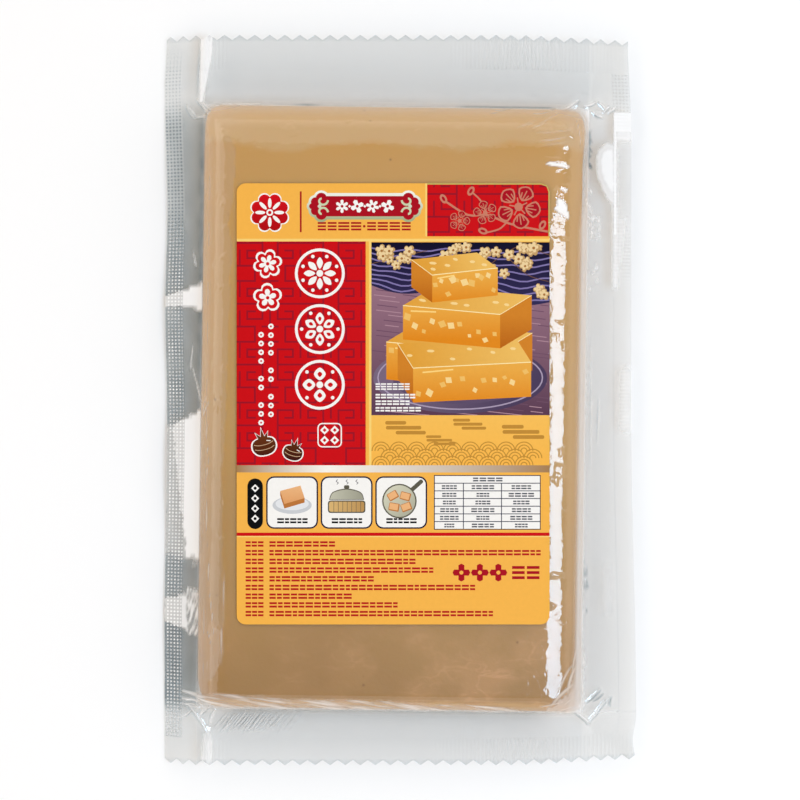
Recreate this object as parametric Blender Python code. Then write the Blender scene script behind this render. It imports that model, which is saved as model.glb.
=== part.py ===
"""A vacuum-sealed water chestnut cake: a flat block of cake in a clear pouch, with a label on its face.

The pack lies on its back with the label up. X runs across it, Y runs up the label and Z is up.
The origin is at the middle of the pack's box, on the surface that it lies on.
Lengths are in millimetres, and MM turns them into Blender's metres.

The pouch is one solid with the cake inside it. Its upper and lower skins are heights over one grid
of lines, which are dense where the cake's sides fall away and which follow the teeth of the cut ends.
"""

import math

import bmesh
import bpy
import numpy as np

MM = 0.001

# Driving sizes of the pack
PACK_WIDTH = 161.0
PACK_LENGTH = 248.0
PACK_THICKNESS = 22.0
CAKE_WIDTH = 130.0
CAKE_LENGTH = 204.5
CAKE_CENTRE = (-2.1, -3.2)
CAKE_TURN = math.radians(0.75)  # clockwise, seen from above

# How far in from each side the cake's face starts to fall away
SHOULDER_LEFT = 11.0
SHOULDER_RIGHT = 12.0
SHOULDER_TOP = 19.0
SHOULDER_BOTTOM = 6.0
SHOULDER_POWER = 2.2
SHOULDER_ROOT = 3.0
BASE_ROUND = 7.0  # width of the rounding round the cake's underside
CORNER_POWER = 5.0  # how square the cake's corners are, seen from above
BASE_CORNER_POWER = 3.0

# The sealed margin, which leaves the cake at half its height
SEAM_HEIGHT = 11.0
MARGIN_THICKNESS = 0.6
MARGIN_LOWEST = 0.9  # height of the margin's middle where it comes down furthest
DROOP_LEFT = 1.0  # share of the way down to MARGIN_LOWEST at each edge
DROOP_RIGHT = 0.6
DROOP_TOP = 0.2
DROOP_BOTTOM = 0.2
DROOP_POWER = 1.1
FILLET_HEIGHT = 1.3  # the film can't reach into the angle between cake and margin
FILLET_REACH = 1.3
WAVE_HEIGHT = 2.2  # the left margin's edge rises and falls along the pack
WAVE_LENGTH = 54.0
WAVE_CREST = -23.0
FOLD_HEIGHT = 1.8  # a ridge of slack film runs out from each corner of the cake
FOLD_WIDTH = 3.2
FOLD_REACH = 11.0

# The cut edges
TOOTH_PITCH = 5.1  # measured along the film
TOOTH_DEPTH = 1.8
# How far in each side edge has wandered, at these y
LEFT_WANDER = ((-80.0, 0.0), (-12.0, 1.0), (32.0, 0.4), (64.0, 1.0), (107.0, 0.0), (124.0, 0.8))
RIGHT_WANDER = ((-124.0, 0.3), (-118.0, 1.1), (-107.0, 0.0), (0.0, 1.8), (90.0, 1.7), (124.0, 2.8))
END_SLANT = 1.5  # the cut ends come in by this much at the right

# The label
LABEL_WIDTH = 105.0
LABEL_LENGTH = 148.0
LABEL_CENTRE = (-2.3, -1.3)
LABEL_CORNER = 3.0
LABEL_THICKNESS = 0.4
CORNER_STEPS = 6
GAP = 0.3  # between the label and the pouch

# Grid lines, as distances outwards (minus) and inwards (plus) from the cake's side
WALL_LINES = (-2.4, -0.9, 0.0, 0.3, 1.0)
SHOULDER_SHARES = (0.2, 0.4, 0.62, 0.82, 1.0)
MARGIN_SHARES = (0.25, 0.5, 0.75)
CLOSEST_LINES = 0.28
INNER_ROWS = 9

COLOURS = {
    "sealed_pouch": (0.56, 0.36, 0.16, 1.0),
    "label": (0.93, 0.47, 0.09, 1.0),
}


def smooth_step(value):
    """Goes from 0 to 1 as value does, level at both ends."""
    t = np.clip(value, 0.0, 1.0)
    return t * t * (3.0 - 2.0 * t)


def wander(y, points):
    """How far in an edge is at y: smooth steps from each (place, distance) to the next."""
    (_, distance), *_ = points
    for (start, before), (end, after) in zip(points, points[1:]):
        distance = distance + (after - before) * smooth_step((y - start) / (end - start))
    return distance


def left_edge(y):
    return -PACK_WIDTH / 2 + wander(y, LEFT_WANDER)


def right_edge(y):
    return PACK_WIDTH / 2 - wander(y, RIGHT_WANDER)


def end_edge(x, sign):
    """The line of the valleys between the teeth, at the top end (sign 1) or the bottom end (sign -1)."""
    slant = END_SLANT * smooth_step((x - 35.0) / 40.0)
    return sign * (PACK_LENGTH / 2 - TOOTH_DEPTH - slant)


def cake_sides(x, y):
    """Where the cake's left, right, bottom and top sides are: x at that y, or y at that x."""
    lean = math.tan(CAKE_TURN)
    middle_x = CAKE_CENTRE[0] + (y - CAKE_CENTRE[1]) * lean
    middle_y = CAKE_CENTRE[1] - (x - CAKE_CENTRE[0]) * lean
    return (
        middle_x - CAKE_WIDTH / 2,
        middle_x + CAKE_WIDTH / 2,
        middle_y - CAKE_LENGTH / 2,
        middle_y + CAKE_LENGTH / 2,
    )


def squared_corner(across, along, power):
    """One distance from two, so that the lines of equal distance turn their corners roundly."""
    return (across**power + along**power) ** (1.0 / power)


def left_wave(y):
    """Height that waves of the left edge add to it, less towards the pack's ends."""
    swell = 0.5 + 0.5 * np.cos(2.0 * math.pi * (y - WAVE_CREST) / WAVE_LENGTH)
    return WAVE_HEIGHT * swell * np.cos(math.pi * y / PACK_LENGTH) ** 2


def corner_folds(x, y):
    """Height of the ridges of slack film that run outwards from the cake's corners."""
    left, right, bottom, top = cake_sides(x, y)
    height = 0.0
    for across in (left - x, x - right):
        for along in (bottom - y, y - top):
            outwards = (across + along) / math.sqrt(2.0)
            aside = (across - along) / math.sqrt(2.0)
            height = height + np.exp(-((outwards / FOLD_REACH) ** 2) - (aside / FOLD_WIDTH) ** 2)
    return FOLD_HEIGHT * height


def margin_height(x, y):
    """Height of the middle of the sealed margin, which bends down from the seam towards its edges."""
    left, right, bottom, top = cake_sides(x, y)
    shares = (
        (DROOP_LEFT, (left - x) / (left + PACK_WIDTH / 2)),
        (DROOP_RIGHT, (x - right) / (PACK_WIDTH / 2 - right)),
        (DROOP_BOTTOM, (bottom - y) / (bottom + PACK_LENGTH / 2)),
        (DROOP_TOP, (y - top) / (PACK_LENGTH / 2 - top)),
    )
    left_over = 1.0
    for droop, share in shares:
        left_over = left_over * (1.0 - droop * np.clip(share, 0.0, 1.0) ** DROOP_POWER)
    hanging = MARGIN_LOWEST + (SEAM_HEIGHT - MARGIN_LOWEST) * left_over
    return hanging + left_wave(y) * np.clip(shares[0][1], 0.0, 1.0) + corner_folds(x, y)


def side_shares(x, y, widths):
    """0 where the cake's face is flat and 1 at its side, across and along, for shoulders of these widths.

    Also gives the width of the shoulder that each is measured by.
    """
    left, right, bottom, top = cake_sides(x, y)
    on_left = x < (left + right) / 2
    on_bottom = y < (bottom + top) / 2
    width_across = np.where(on_left, widths[0], widths[1])
    width_along = np.where(on_bottom, widths[2], widths[3])
    across = 1.0 - np.where(on_left, x - left, right - x) / width_across
    along = 1.0 - np.where(on_bottom, y - bottom, top - y) / width_along
    return np.maximum(across, 0.0), np.maximum(along, 0.0), width_across, width_along


def upper_height(x, y):
    """Height of the pouch's upper skin: the cake's face, its shoulders, the fillet and the margin."""
    widths = (SHOULDER_LEFT, SHOULDER_RIGHT, SHOULDER_BOTTOM, SHOULDER_TOP)
    across, along, width_across, width_along = side_shares(x, y, widths)
    reach = squared_corner(across, along, CORNER_POWER)
    foot = SEAM_HEIGHT + MARGIN_THICKNESS / 2 + FILLET_HEIGHT
    shoulder = (1.0 - np.clip(reach, 0.0, 1.0) ** SHOULDER_POWER) ** (1.0 / SHOULDER_ROOT)
    on_cake = foot + (PACK_THICKNESS - foot) * shoulder
    outside = (reach - 1.0) * np.where(across > along, width_across, width_along)
    fillet = FILLET_HEIGHT * np.exp(-np.maximum(outside, 0.0) / FILLET_REACH)
    on_margin = margin_height(x, y) + MARGIN_THICKNESS / 2 + fillet
    return np.where(reach < 1.0, on_cake, on_margin)


def lower_height(x, y):
    """Height of the pouch's lower skin: flat under the cake, then round, and up to the margin."""
    widths = (BASE_ROUND,) * 4
    across, along, _, _ = side_shares(x, y, widths)
    reach = squared_corner(across, along, BASE_CORNER_POWER)
    foot = SEAM_HEIGHT - MARGIN_THICKNESS / 2 - FILLET_HEIGHT
    on_cake = foot * (1.0 - np.sqrt(1.0 - np.clip(reach, 0.0, 1.0) ** 2))
    outside = np.maximum((reach - 1.0) * BASE_ROUND, 0.0)
    fillet = FILLET_HEIGHT * np.exp(-outside / FILLET_REACH)
    on_margin = np.maximum(margin_height(x, y) - MARGIN_THICKNESS / 2 - fillet, GAP)
    return np.where(reach < 1.0, on_cake, on_margin)


def tooth_lines():
    """x of the teeth's valleys and tips by turns, a half pitch apart along the film at the top end."""
    x = np.linspace(-PACK_WIDTH / 2, PACK_WIDTH / 2, 1601)
    z = margin_height(x, np.full_like(x, PACK_LENGTH / 2))
    along_film = np.concatenate([[0.0], np.cumsum(np.hypot(np.diff(x), np.diff(z)))])
    halves = 2 * round(along_film[-1] / TOOTH_PITCH)
    return np.interp(np.linspace(0.0, along_film[-1], halves + 1), along_film, x)


def side_lines(edge, side, inwards, shoulder):
    """Grid lines from a pack edge to where the cake's face is flat. inwards is 1 or -1 along the axis."""
    margin = [edge + (side - edge) * share for share in MARGIN_SHARES]
    wall = [side + inwards * step for step in WALL_LINES]
    round_over = [side + inwards * share * shoulder for share in SHOULDER_SHARES]
    return [edge, *margin, *wall, *round_over]


def merged(fixed, extra):
    """The fixed lines, and those of the extra ones that don't crowd them, in order."""
    fixed = np.array(fixed)
    kept = [line for line in extra if np.abs(fixed - line).min() > CLOSEST_LINES]
    return np.sort(np.concatenate([fixed, kept]))


def grid_lines(teeth):
    """(columns, rows): each column's x at y = 0 and each row's y at x = 0."""
    left, right, bottom, top = cake_sides(0.0, 0.0)
    half_width, half_length = PACK_WIDTH / 2, PACK_LENGTH / 2 - TOOTH_DEPTH
    across = side_lines(-half_width, left, 1, SHOULDER_LEFT)
    across += side_lines(half_width, right, -1, SHOULDER_RIGHT)
    along = side_lines(-half_length, bottom, 1, SHOULDER_BOTTOM)
    along += side_lines(half_length, top, -1, SHOULDER_TOP)
    inner = np.linspace(bottom + SHOULDER_BOTTOM, top - SHOULDER_TOP, INNER_ROWS + 2)[1:-1]
    return merged(teeth, across), np.sort(np.concatenate([along, inner]))


def knots(values):
    return np.stack(np.broadcast_arrays(*values), axis=-1)


def stretched(line, at_rest, moved):
    """Carries a grid line from its place among the resting knots to that among the moved ones."""
    return np.array([np.interp(line, at_rest, row) for row in moved])


def grid_points(columns, rows, teeth):
    """x and y of each crossing: the lines lean with the cake and meet the pack's own edges."""
    left, right, bottom, top = cake_sides(0.0, 0.0)
    sides_at_rest = (-PACK_WIDTH / 2, left, right, PACK_WIDTH / 2)
    ends_at_rest = (end_edge(0.0, -1), bottom, top, end_edge(0.0, 1))
    sides = cake_sides(0.0, rows)
    x = stretched(columns, sides_at_rest, knots((left_edge(rows), *sides[:2], right_edge(rows))))
    y = np.empty_like(x)
    for i in range(len(columns)):
        _, _, low, high = cake_sides(x[:, i], 0.0)
        ends = knots((end_edge(x[:, i], -1), low, high, end_edge(x[:, i], 1)))
        for j in range(len(rows)):
            y[j, i] = np.interp(rows[j], ends_at_rest, ends[j])
    tips = np.interp(columns, teeth, np.arange(len(teeth)) % 2)
    y[0] -= TOOTH_DEPTH * tips
    y[-1] += TOOTH_DEPTH * tips
    return x, y


def new_object(name, mesh):
    """An object of this mesh, with a plain material of its own."""
    obj = bpy.data.objects.new(name, mesh)
    bpy.context.scene.collection.objects.link(obj)
    material = bpy.data.materials.new(name)
    material.use_nodes = True
    shader = material.node_tree.nodes["Principled BSDF"]
    shader.inputs["Base Color"].default_value = COLOURS[name]
    shader.inputs["Roughness"].default_value = 0.35
    shader.inputs["Metallic"].default_value = 0.0
    mesh.materials.append(material)
    return obj


def build_pouch():
    """The sealed pouch with the cake in it: two skins over the grid, joined round the cut edges."""
    teeth = tooth_lines()
    columns, rows = grid_lines(teeth)
    x, y = grid_points(columns, rows, teeth)
    upper = np.stack([x, y, upper_height(x, y)], axis=-1).reshape(-1, 3)
    lower = np.stack([x, y, lower_height(x, y)], axis=-1).reshape(-1, 3)
    index = np.arange(x.size).reshape(x.shape)
    quads = np.stack([index[:-1, :-1], index[:-1, 1:], index[1:, 1:], index[1:, :-1]], axis=-1)
    upper_faces = quads.reshape(-1, 4)
    lower_faces = upper_faces[:, ::-1] + x.size
    rim = np.concatenate([index[0, :-1], index[:-1, -1], index[-1, :0:-1], index[:0:-1, 0]])
    after = np.roll(rim, -1)
    rim_faces = np.stack([rim, rim + x.size, after + x.size, after], axis=-1)
    faces = np.concatenate([upper_faces, lower_faces, rim_faces])
    mesh = bpy.data.meshes.new("sealed_pouch")
    mesh.from_pydata(np.concatenate([upper, lower]) * MM, [], faces.tolist())
    mesh.shade_smooth()
    mesh.set_sharp_from_angle(angle=math.radians(35))
    return new_object("sealed_pouch", mesh)


def build_label():
    """The label: a thin plate with round corners, just clear of the pouch's face."""
    half_width = LABEL_WIDTH / 2 - LABEL_CORNER
    half_length = LABEL_LENGTH / 2 - LABEL_CORNER
    bed = PACK_THICKNESS + GAP
    work = bmesh.new()
    outline = []
    for quarter, (sign_x, sign_y) in enumerate(((1, 1), (-1, 1), (-1, -1), (1, -1))):
        for step in range(CORNER_STEPS + 1):
            angle = (quarter + step / CORNER_STEPS) * math.pi / 2
            x = LABEL_CENTRE[0] + sign_x * half_width + LABEL_CORNER * math.cos(angle)
            y = LABEL_CENTRE[1] + sign_y * half_length + LABEL_CORNER * math.sin(angle)
            outline.append(work.verts.new((x * MM, y * MM, bed * MM)))
    face = work.faces.new(outline)
    raised = bmesh.ops.extrude_face_region(work, geom=[face])
    moving = [item for item in raised["geom"] if isinstance(item, bmesh.types.BMVert)]
    bmesh.ops.translate(work, vec=(0, 0, LABEL_THICKNESS * MM), verts=moving)
    bmesh.ops.recalc_face_normals(work, faces=work.faces)
    mesh = bpy.data.meshes.new("label")
    work.to_mesh(mesh)
    work.free()
    return new_object("label", mesh)


def main():
    for obj in list(bpy.data.objects):
        bpy.data.objects.remove(obj)
    build_pouch()
    build_label()


main()
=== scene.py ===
"""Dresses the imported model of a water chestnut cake, vacuum-sealed in a clear pouch with a label.

The CAD model gives the pouch as one solid and the label as a plate. This script replaces the pouch
with a block of cake, the two skins of clear film drawn tight over it and the embossed seals round its
edges, and it replaces the label with a printed one. Lengths are in millimetres until a mesh is made.
"""

from __future__ import annotations

import logging
import math
from dataclasses import dataclass, field
from enum import Enum

import bpy
import numpy as np
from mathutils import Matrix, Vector
from mathutils.geometry import delaunay_2d_cdt

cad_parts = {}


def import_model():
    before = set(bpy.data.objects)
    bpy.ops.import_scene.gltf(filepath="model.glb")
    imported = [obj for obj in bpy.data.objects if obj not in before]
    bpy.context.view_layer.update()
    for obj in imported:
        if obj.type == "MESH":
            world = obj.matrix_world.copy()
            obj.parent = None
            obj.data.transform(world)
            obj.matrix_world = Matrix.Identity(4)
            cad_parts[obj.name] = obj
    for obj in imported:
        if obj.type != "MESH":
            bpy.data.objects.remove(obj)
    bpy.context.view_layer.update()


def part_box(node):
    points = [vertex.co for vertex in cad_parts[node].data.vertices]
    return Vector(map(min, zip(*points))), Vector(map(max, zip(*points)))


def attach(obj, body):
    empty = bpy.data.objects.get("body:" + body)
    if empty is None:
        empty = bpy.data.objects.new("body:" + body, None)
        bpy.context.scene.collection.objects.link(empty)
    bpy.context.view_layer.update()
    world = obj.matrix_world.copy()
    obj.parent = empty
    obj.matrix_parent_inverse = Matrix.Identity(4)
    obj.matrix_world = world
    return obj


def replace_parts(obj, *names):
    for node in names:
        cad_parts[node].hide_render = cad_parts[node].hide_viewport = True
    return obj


MM = 0.001
BODY = "root"
# Edges that turn by more than this stay sharp
SHARP = math.radians(50)
# The side seals' knurling: from bump to bump, and how wide it fades out at the band's sides
KNURL_PITCH = 1.2
KNURL_RIM = 0.45

Array = np.ndarray
Point = tuple[float, float]
Colour = tuple[float, float, float]
Socket = bpy.types.NodeSocket

log = logging.getLogger("scene")


def smooth_step(value: Array | float) -> Array:
    """Goes from 0 to 1 as value does, level at both ends: 3t² - 2t³."""
    t = np.clip(value, 0.0, 1.0)
    return t * t * (3.0 - 2.0 * t)


def swell(x: Array, y: Array, cell: float, seed: int) -> Array:
    """Smooth hills and hollows, about -1 to 1, one to each square cell (gradient noise).

    Each corner of a lattice of cells has a slope in a random direction. A point's height is what its
    cell's four slopes give there, eased from corner to corner.

    Args:
        x: Places across, in millimetres.
        y: Places along, in millimetres.
        cell: Size of a cell, in millimetres.
        seed: Start of the random numbers.

    Returns:
        The height at each place.
    """
    angle = np.random.default_rng(seed).uniform(0.0, 2.0 * math.pi, (256, 256))
    i, j = np.floor(x / cell).astype(int), np.floor(y / cell).astype(int)
    s, t = x / cell - i, y / cell - j

    def rise(right: int, up: int) -> Array:
        """Height that the slope at one corner of the cell gives."""
        turn = angle[(i + right) % 256, (j + up) % 256]
        return np.cos(turn) * (s - right) + np.sin(turn) * (t - up)

    low = rise(0, 0) + (rise(1, 0) - rise(0, 0)) * smooth_step(s)
    high = rise(0, 1) + (rise(1, 1) - rise(0, 1)) * smooth_step(s)
    return 1.5 * (low + (high - low) * smooth_step(t))


def bell(value: Array, middle: Array | float, width: float) -> Array:
    """A bell about middle: e to the power of minus the square of the distance in widths."""
    return np.exp(-(((value - middle) / width) ** 2))


def between(value: Array, low: Array | float, rise: float, high: Array | float, fall: float) -> Array:
    """1 between low and high, with smooth steps up over rise from low and down over fall to high."""
    return smooth_step((value - low) / rise) * smooth_step((high - value) / fall)


def raised_cosine(value: Array, pitch: float) -> Array:
    """Even waves from 0 to 1, with a crest at 0: half of one plus the cosine."""
    return 0.5 + 0.5 * np.cos(2.0 * math.pi * value / pitch)


def graded_lines(spacings: tuple[Point, ...]) -> Array:
    """Grid lines whose spacing changes evenly from each stated place to the next.

    The count of lines up to a place is the integral of one over the spacing, and the lines stand where
    that count is whole.

    Args:
        spacings: (place, spacing there), in order.

    Returns:
        The lines' places, with the first and last place among them.
    """
    places, steps = np.array(spacings).T
    fine = np.linspace(places[0], places[-1], 20001)
    density = 1.0 / np.interp(fine, places, steps)
    count = np.concatenate([[0.0], np.cumsum((density[1:] + density[:-1]) / 2 * np.diff(fine))])
    return np.interp(np.linspace(0.0, count[-1], round(count[-1]) + 1), count, fine)


def linear(colour: Colour) -> tuple[float, float, float, float]:
    """An sRGB colour of 0 to 255 as the linear colour and alpha of 1 that shaders take."""
    share = np.array(colour) / 255.0
    light = np.where(share <= 0.04045, share / 12.92, ((share + 0.055) / 1.055) ** 2.4)
    return (*light.tolist(), 1.0)


class Tree:
    """A material's or the world's node tree, with short calls to add nodes and join them."""

    def __init__(self, owner: bpy.types.ID) -> None:
        """Empties the owner's tree.

        Args:
            owner: The material or world.
        """
        owner.use_nodes = True
        self.nodes = owner.node_tree.nodes
        self.links = owner.node_tree.links
        self.nodes.clear()

    def add(self, kind: str, inputs: dict | None = None, **settings: object) -> bpy.types.Node:
        """Adds a node.

        Args:
            kind: The node's type, without its leading "ShaderNode".
            inputs: Values or output sockets for the node's inputs, by name or index.
            **settings: The node's own properties.

        Returns:
            The node.
        """
        node = self.nodes.new("ShaderNode" + kind)
        for key, value in settings.items():
            setattr(node, key, value)
        for key, value in (inputs or {}).items():
            if isinstance(value, bpy.types.NodeSocket):
                self.links.new(value, node.inputs[key])
            else:
                node.inputs[key].default_value = value
        return node

    def attribute(self, name: str) -> Socket:
        """One of the mesh's attributes, as a share."""
        return self.add("Attribute", attribute_name=name).outputs["Fac"]

    def noise(self, place: Socket, scale: float, detail: float = 3.0, distortion: float = 0.0) -> Socket:
        """A noise pattern over place, as the noise node's factor."""
        inputs = {"Vector": place, "Scale": scale, "Detail": detail, "Distortion": distortion}
        return self.add("TexNoise", inputs).outputs["Fac"]

    def compute(self, operation: str, *values: Socket | float) -> Socket:
        """What one arithmetic operation makes of the values."""
        return self.add("Math", dict(enumerate(values)), operation=operation).outputs[0]

    def span(self, value: Socket, low: float, high: float, start: float = 0.0, end: float = 1.0) -> Socket:
        """Carries value, kept between low and high, to its share of the way from start to end."""
        ends = {"From Min": low, "From Max": high, "To Min": start, "To Max": end}
        return self.add("MapRange", {"Value": value, **ends}).outputs["Result"]

    def blend(self, share: Socket, first: Socket | tuple, second: Socket | tuple) -> Socket:
        """Two colours mixed, by the second one's share."""
        return self.add("Mix", {0: share, 6: first, 7: second}, data_type="RGBA").outputs[2]

    def layer(self, share: Socket, first: bpy.types.Node, second: bpy.types.Node) -> bpy.types.Node:
        """Two shaders mixed, by the second one's share."""
        return self.add("MixShader", {0: share, 1: first.outputs[0], 2: second.outputs[0]})

    def ramp(self, share: Socket, stops: tuple[tuple[float, Colour], ...]) -> Socket:
        """A colour ramp over share, with stops of (place, sRGB colour).

        Args:
            share: What the ramp is read at.
            stops: Its places and colours, in order.

        Returns:
            The colour.
        """
        node = self.add("ValToRGB", {"Fac": share})
        elements = node.color_ramp.elements
        while len(elements) < len(stops):
            elements.new(1.0)
        for element, (place, colour) in zip(elements, stops):
            element.position = place
            element.color = linear(colour)
        return node.outputs["Color"]


@dataclass(frozen=True)
class CakeFinish:
    """Steamed starch cake: cloudy, faintly see-through, caramel-coloured and darker towards its foot."""

    top: Colour = (209, 159, 84)
    middle: Colour = (200, 156, 90)
    foot: Colour = (169, 127, 71)
    # Colour of the painted sheen over the shoulders
    pale: Colour = (211, 171, 114)
    cloud: Colour = (214, 164, 114)
    speck: Colour = (120, 82, 44)

    def material(self) -> bpy.types.Material:
        """Builds the material.

        Returns:
            A material that shades by Object coordinates.
        """
        made = bpy.data.materials.new("cake")
        tree = Tree(made)
        place = tree.add("TexCoord").outputs["Object"]
        across, along, _ = tree.add("SeparateXYZ", {"Vector": place}).outputs
        drift = tree.compute("MULTIPLY_ADD", tree.noise(place, 22.0), 0.35, tree.span(along, -0.106, 0.1))
        stops = ((0.0, self.foot), (0.45, self.middle), (1.0, self.top))
        heart = tree.ramp(tree.compute("SUBTRACT", drift, 0.175), stops)
        # Painted sheen: the "pale" share lightens the cake towards the pale colour over its shoulders
        body = tree.blend(tree.attribute("pale"), heart, linear(self.pale))
        drawn = tree.add("Mapping", {"Vector": place, "Rotation": (0.0, 0.0, 0.7), "Scale": (0.6, 1.3, 1.0)})
        feather = tree.noise(drawn.outputs[0], 140.0, 7.0, 0.6)
        apart = tree.compute("ABSOLUTE", tree.compute("SUBTRACT", feather, 0.52))
        veins = tree.compute("MULTIPLY_ADD", tree.span(apart, 0.035, 0.0), 0.4, 0.38)
        mist = tree.span(tree.noise(place, 60.0, 5.0), 0.4, 0.62)
        zone = tree.compute("MULTIPLY", tree.span(along, -0.05, -0.085), tree.span(across, -0.03, 0.03, 0.3))
        cloudy = tree.compute("MULTIPLY", tree.compute("MULTIPLY", veins, mist), zone)
        clouded = tree.blend(cloudy, body, linear(self.cloud))
        dots = tree.add("TexVoronoi", {"Vector": place, "Scale": 160.0}).outputs["Distance"]
        chosen = tree.span(tree.noise(place, 90.0, 0.0), 0.62, 0.66)
        specks = tree.compute("MULTIPLY", tree.span(dots, 0.05, 0.1, 0.5, 0.0), chosen)
        height = tree.noise(place, 900.0, 4.0)
        grain = tree.add("Bump", {"Height": height, "Strength": 0.25, "Distance": 0.0002})
        shader = tree.add(
            "BsdfPrincipled",
            {
                "Base Color": tree.blend(specks, clouded, linear(self.speck)),
                "Roughness": 0.42,
                "Subsurface Weight": 0.25,
                "Subsurface Radius": (0.006, 0.003, 0.001),
                "Subsurface Scale": 1.0,
                "Normal": grain.outputs["Normal"],
            },
        )
        tree.add("OutputMaterial", {"Surface": shader.outputs["BSDF"]})
        return made


@dataclass(frozen=True)
class FilmFinish:
    """Clear laminate: it mirrors a little and tints what is behind it, with painted highlights and painted
    shade.
    """

    tint: tuple[float, float, float, float] = (0.96, 0.965, 0.965, 1.0)
    shadow: tuple[float, float, float, float] = (0.43, 0.512, 0.556, 1.0)
    # White of the film's faint haze and of its painted highlights
    milk_and_highlight: tuple[float, float, float, float] = (0.98, 0.98, 0.98, 1.0)
    mirror: float = 0.075
    roughness: float = 0.035
    ripple: float = 0.07
    crumple: float = 0.2

    def material(self) -> bpy.types.Material:
        """Builds the material.

        Returns:
            A see-through material. Its "haze_and_highlight" attribute gives haze and painted highlights,
            "shade_and_steel" gives painted shade, and "pleats" gives long painted highlight streaks.
        """
        made = bpy.data.materials.new("clear_film")
        tree = Tree(made)
        place = tree.add("TexCoord").outputs["Object"]
        crinkle = tree.attribute("crinkle")
        strength = tree.compute("MULTIPLY_ADD", crinkle, self.crumple, self.ripple)
        rippled = tree.add(
            "Bump", {"Height": tree.noise(place, 430.0, 1.5), "Strength": strength, "Distance": 0.0004}
        ).outputs["Normal"]
        dents = tree.span(tree.noise(place, 140.0, 2.0), 0.6, 0.7)
        fine = tree.add(
            "Bump", {"Height": dents, "Strength": crinkle, "Distance": 0.0003, "Normal": rippled}
        ).outputs["Normal"]
        # Painted shade: the shade_and_steel share darkens the film towards the shadow colour
        shade = tree.blend(tree.attribute("shade_and_steel"), self.tint, self.shadow)
        clear = tree.add("BsdfTransparent", {"Color": shade})
        gloss = tree.add(
            "BsdfAnisotropic", {"Color": (1.0, 1.0, 1.0, 1.0), "Roughness": self.roughness, "Normal": fine}
        )
        facing = tree.add("LayerWeight", {"Blend": 0.5, "Normal": fine}).outputs["Facing"]
        steep = tree.compute("POWER", facing, 5.0)
        share = tree.compute("MULTIPLY_ADD", steep, 1.0 - self.mirror, self.mirror)
        back = tree.add("BsdfDiffuse", {"Color": self.milk_and_highlight})
        through = tree.add("BsdfTranslucent", {"Color": self.milk_and_highlight})
        drawn = tree.add(
            "Mapping",
            {"Vector": place, "Rotation": (0.0, 0.0, -0.17), "Scale": (0.014, 0.0013, 1.0)},
            vector_type="TEXTURE",
        ).outputs[0]
        # Painted highlights: the haze_and_highlight share and the streaks over the pleats whiten the film
        streaks = tree.span(tree.noise(drawn, 1.0, 2.0), 0.47, 0.66)
        haze_and_highlight = tree.compute("MULTIPLY_ADD", tree.attribute("pleats"), streaks, tree.attribute("haze_and_highlight"))
        milk_and_highlight = tree.layer(tree.span(haze_and_highlight, 0.65, 0.95, 0.42, 0.08), back, through)
        surface = tree.layer(haze_and_highlight, tree.layer(share, clear, gloss), milk_and_highlight)
        tree.add("OutputMaterial", {"Surface": surface.outputs[0]})
        return made


@dataclass(frozen=True)
class PrintFinish:
    """Coated paper with inks: the colours come from the mesh's "ink" attribute."""

    def material(self) -> bpy.types.Material:
        """Builds the material.

        Returns:
            A material with a faint paper tooth under the ink.
        """
        made = bpy.data.materials.new("printed_paper")
        tree = Tree(made)
        place = tree.add("TexCoord").outputs["Object"]
        ink = tree.add("VertexColor", layer_name="ink").outputs["Color"]
        mottle = tree.span(tree.noise(place, 700.0), 0.0, 1.0, 0.96, 1.03)
        toned = tree.add("VectorMath", {0: ink, "Scale": mottle}, operation="SCALE")
        tooth = tree.add("Bump", {"Height": tree.noise(place, 2600.0), "Strength": 0.1, "Distance": 0.0001})
        shader = tree.add(
            "BsdfPrincipled",
            {
                "Base Color": toned.outputs["Vector"],
                "Roughness": tree.span(tree.noise(place, 60.0), 0.0, 1.0, 0.42, 0.55),
                "Specular IOR Level": 0.08,
                "Normal": tooth.outputs["Normal"],
            },
        )
        tree.add("OutputMaterial", {"Surface": shader.outputs["BSDF"]})
        return made


@dataclass(frozen=True)
class Crease:
    """A fold or wrinkle of slack film: a ridge from one point to another, bowed sideways by bow.

    One flank of it has a painted highlight, by the share of white, and the other painted shade, by the share
    of dark.
    """

    start: Point
    end: Point
    height: float = 0.45
    width: float = 0.5
    bow: float = 0.0
    white: float = 0.6
    dark: float = 0.3

    def trace(self, x: Array, y: Array) -> tuple[Array, Array]:
        """Where each place is beside the fold.

        Args:
            x: Places across, in millimetres.
            y: Places along, in millimetres.

        Returns:
            How strong the fold is beside each place, a half sine wave along it, and how far aside the
            place is, in widths.
        """
        run_x, run_y = self.end[0] - self.start[0], self.end[1] - self.start[1]
        length = math.hypot(run_x, run_y)
        from_x, from_y = x - self.start[0], y - self.start[1]
        along = np.clip((from_x * run_x + from_y * run_y) / length**2, 0.0, 1.0)
        aside = (from_y * run_x - from_x * run_y) / length - 4.0 * self.bow * along * (1.0 - along)
        return np.sin(math.pi * along) ** 0.7, aside / self.width

    def lift(self, x: Array, y: Array) -> Array:
        """Height of the ridge at each place: a bell across it."""
        strength, aside = self.trace(x, y)
        return self.height * strength * np.exp(-(aside**2))

    def glint(self, x: Array, y: Array) -> tuple[Array, Array]:
        """Painted highlight and painted shade shares at each place: a narrow bell on each flank."""
        strength, aside = self.trace(x, y)
        white = self.white * strength * np.exp(-(((aside - 0.45) / 0.6) ** 2))
        return white, self.dark * strength * np.exp(-(((aside + 0.65) / 0.5) ** 2))


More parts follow.
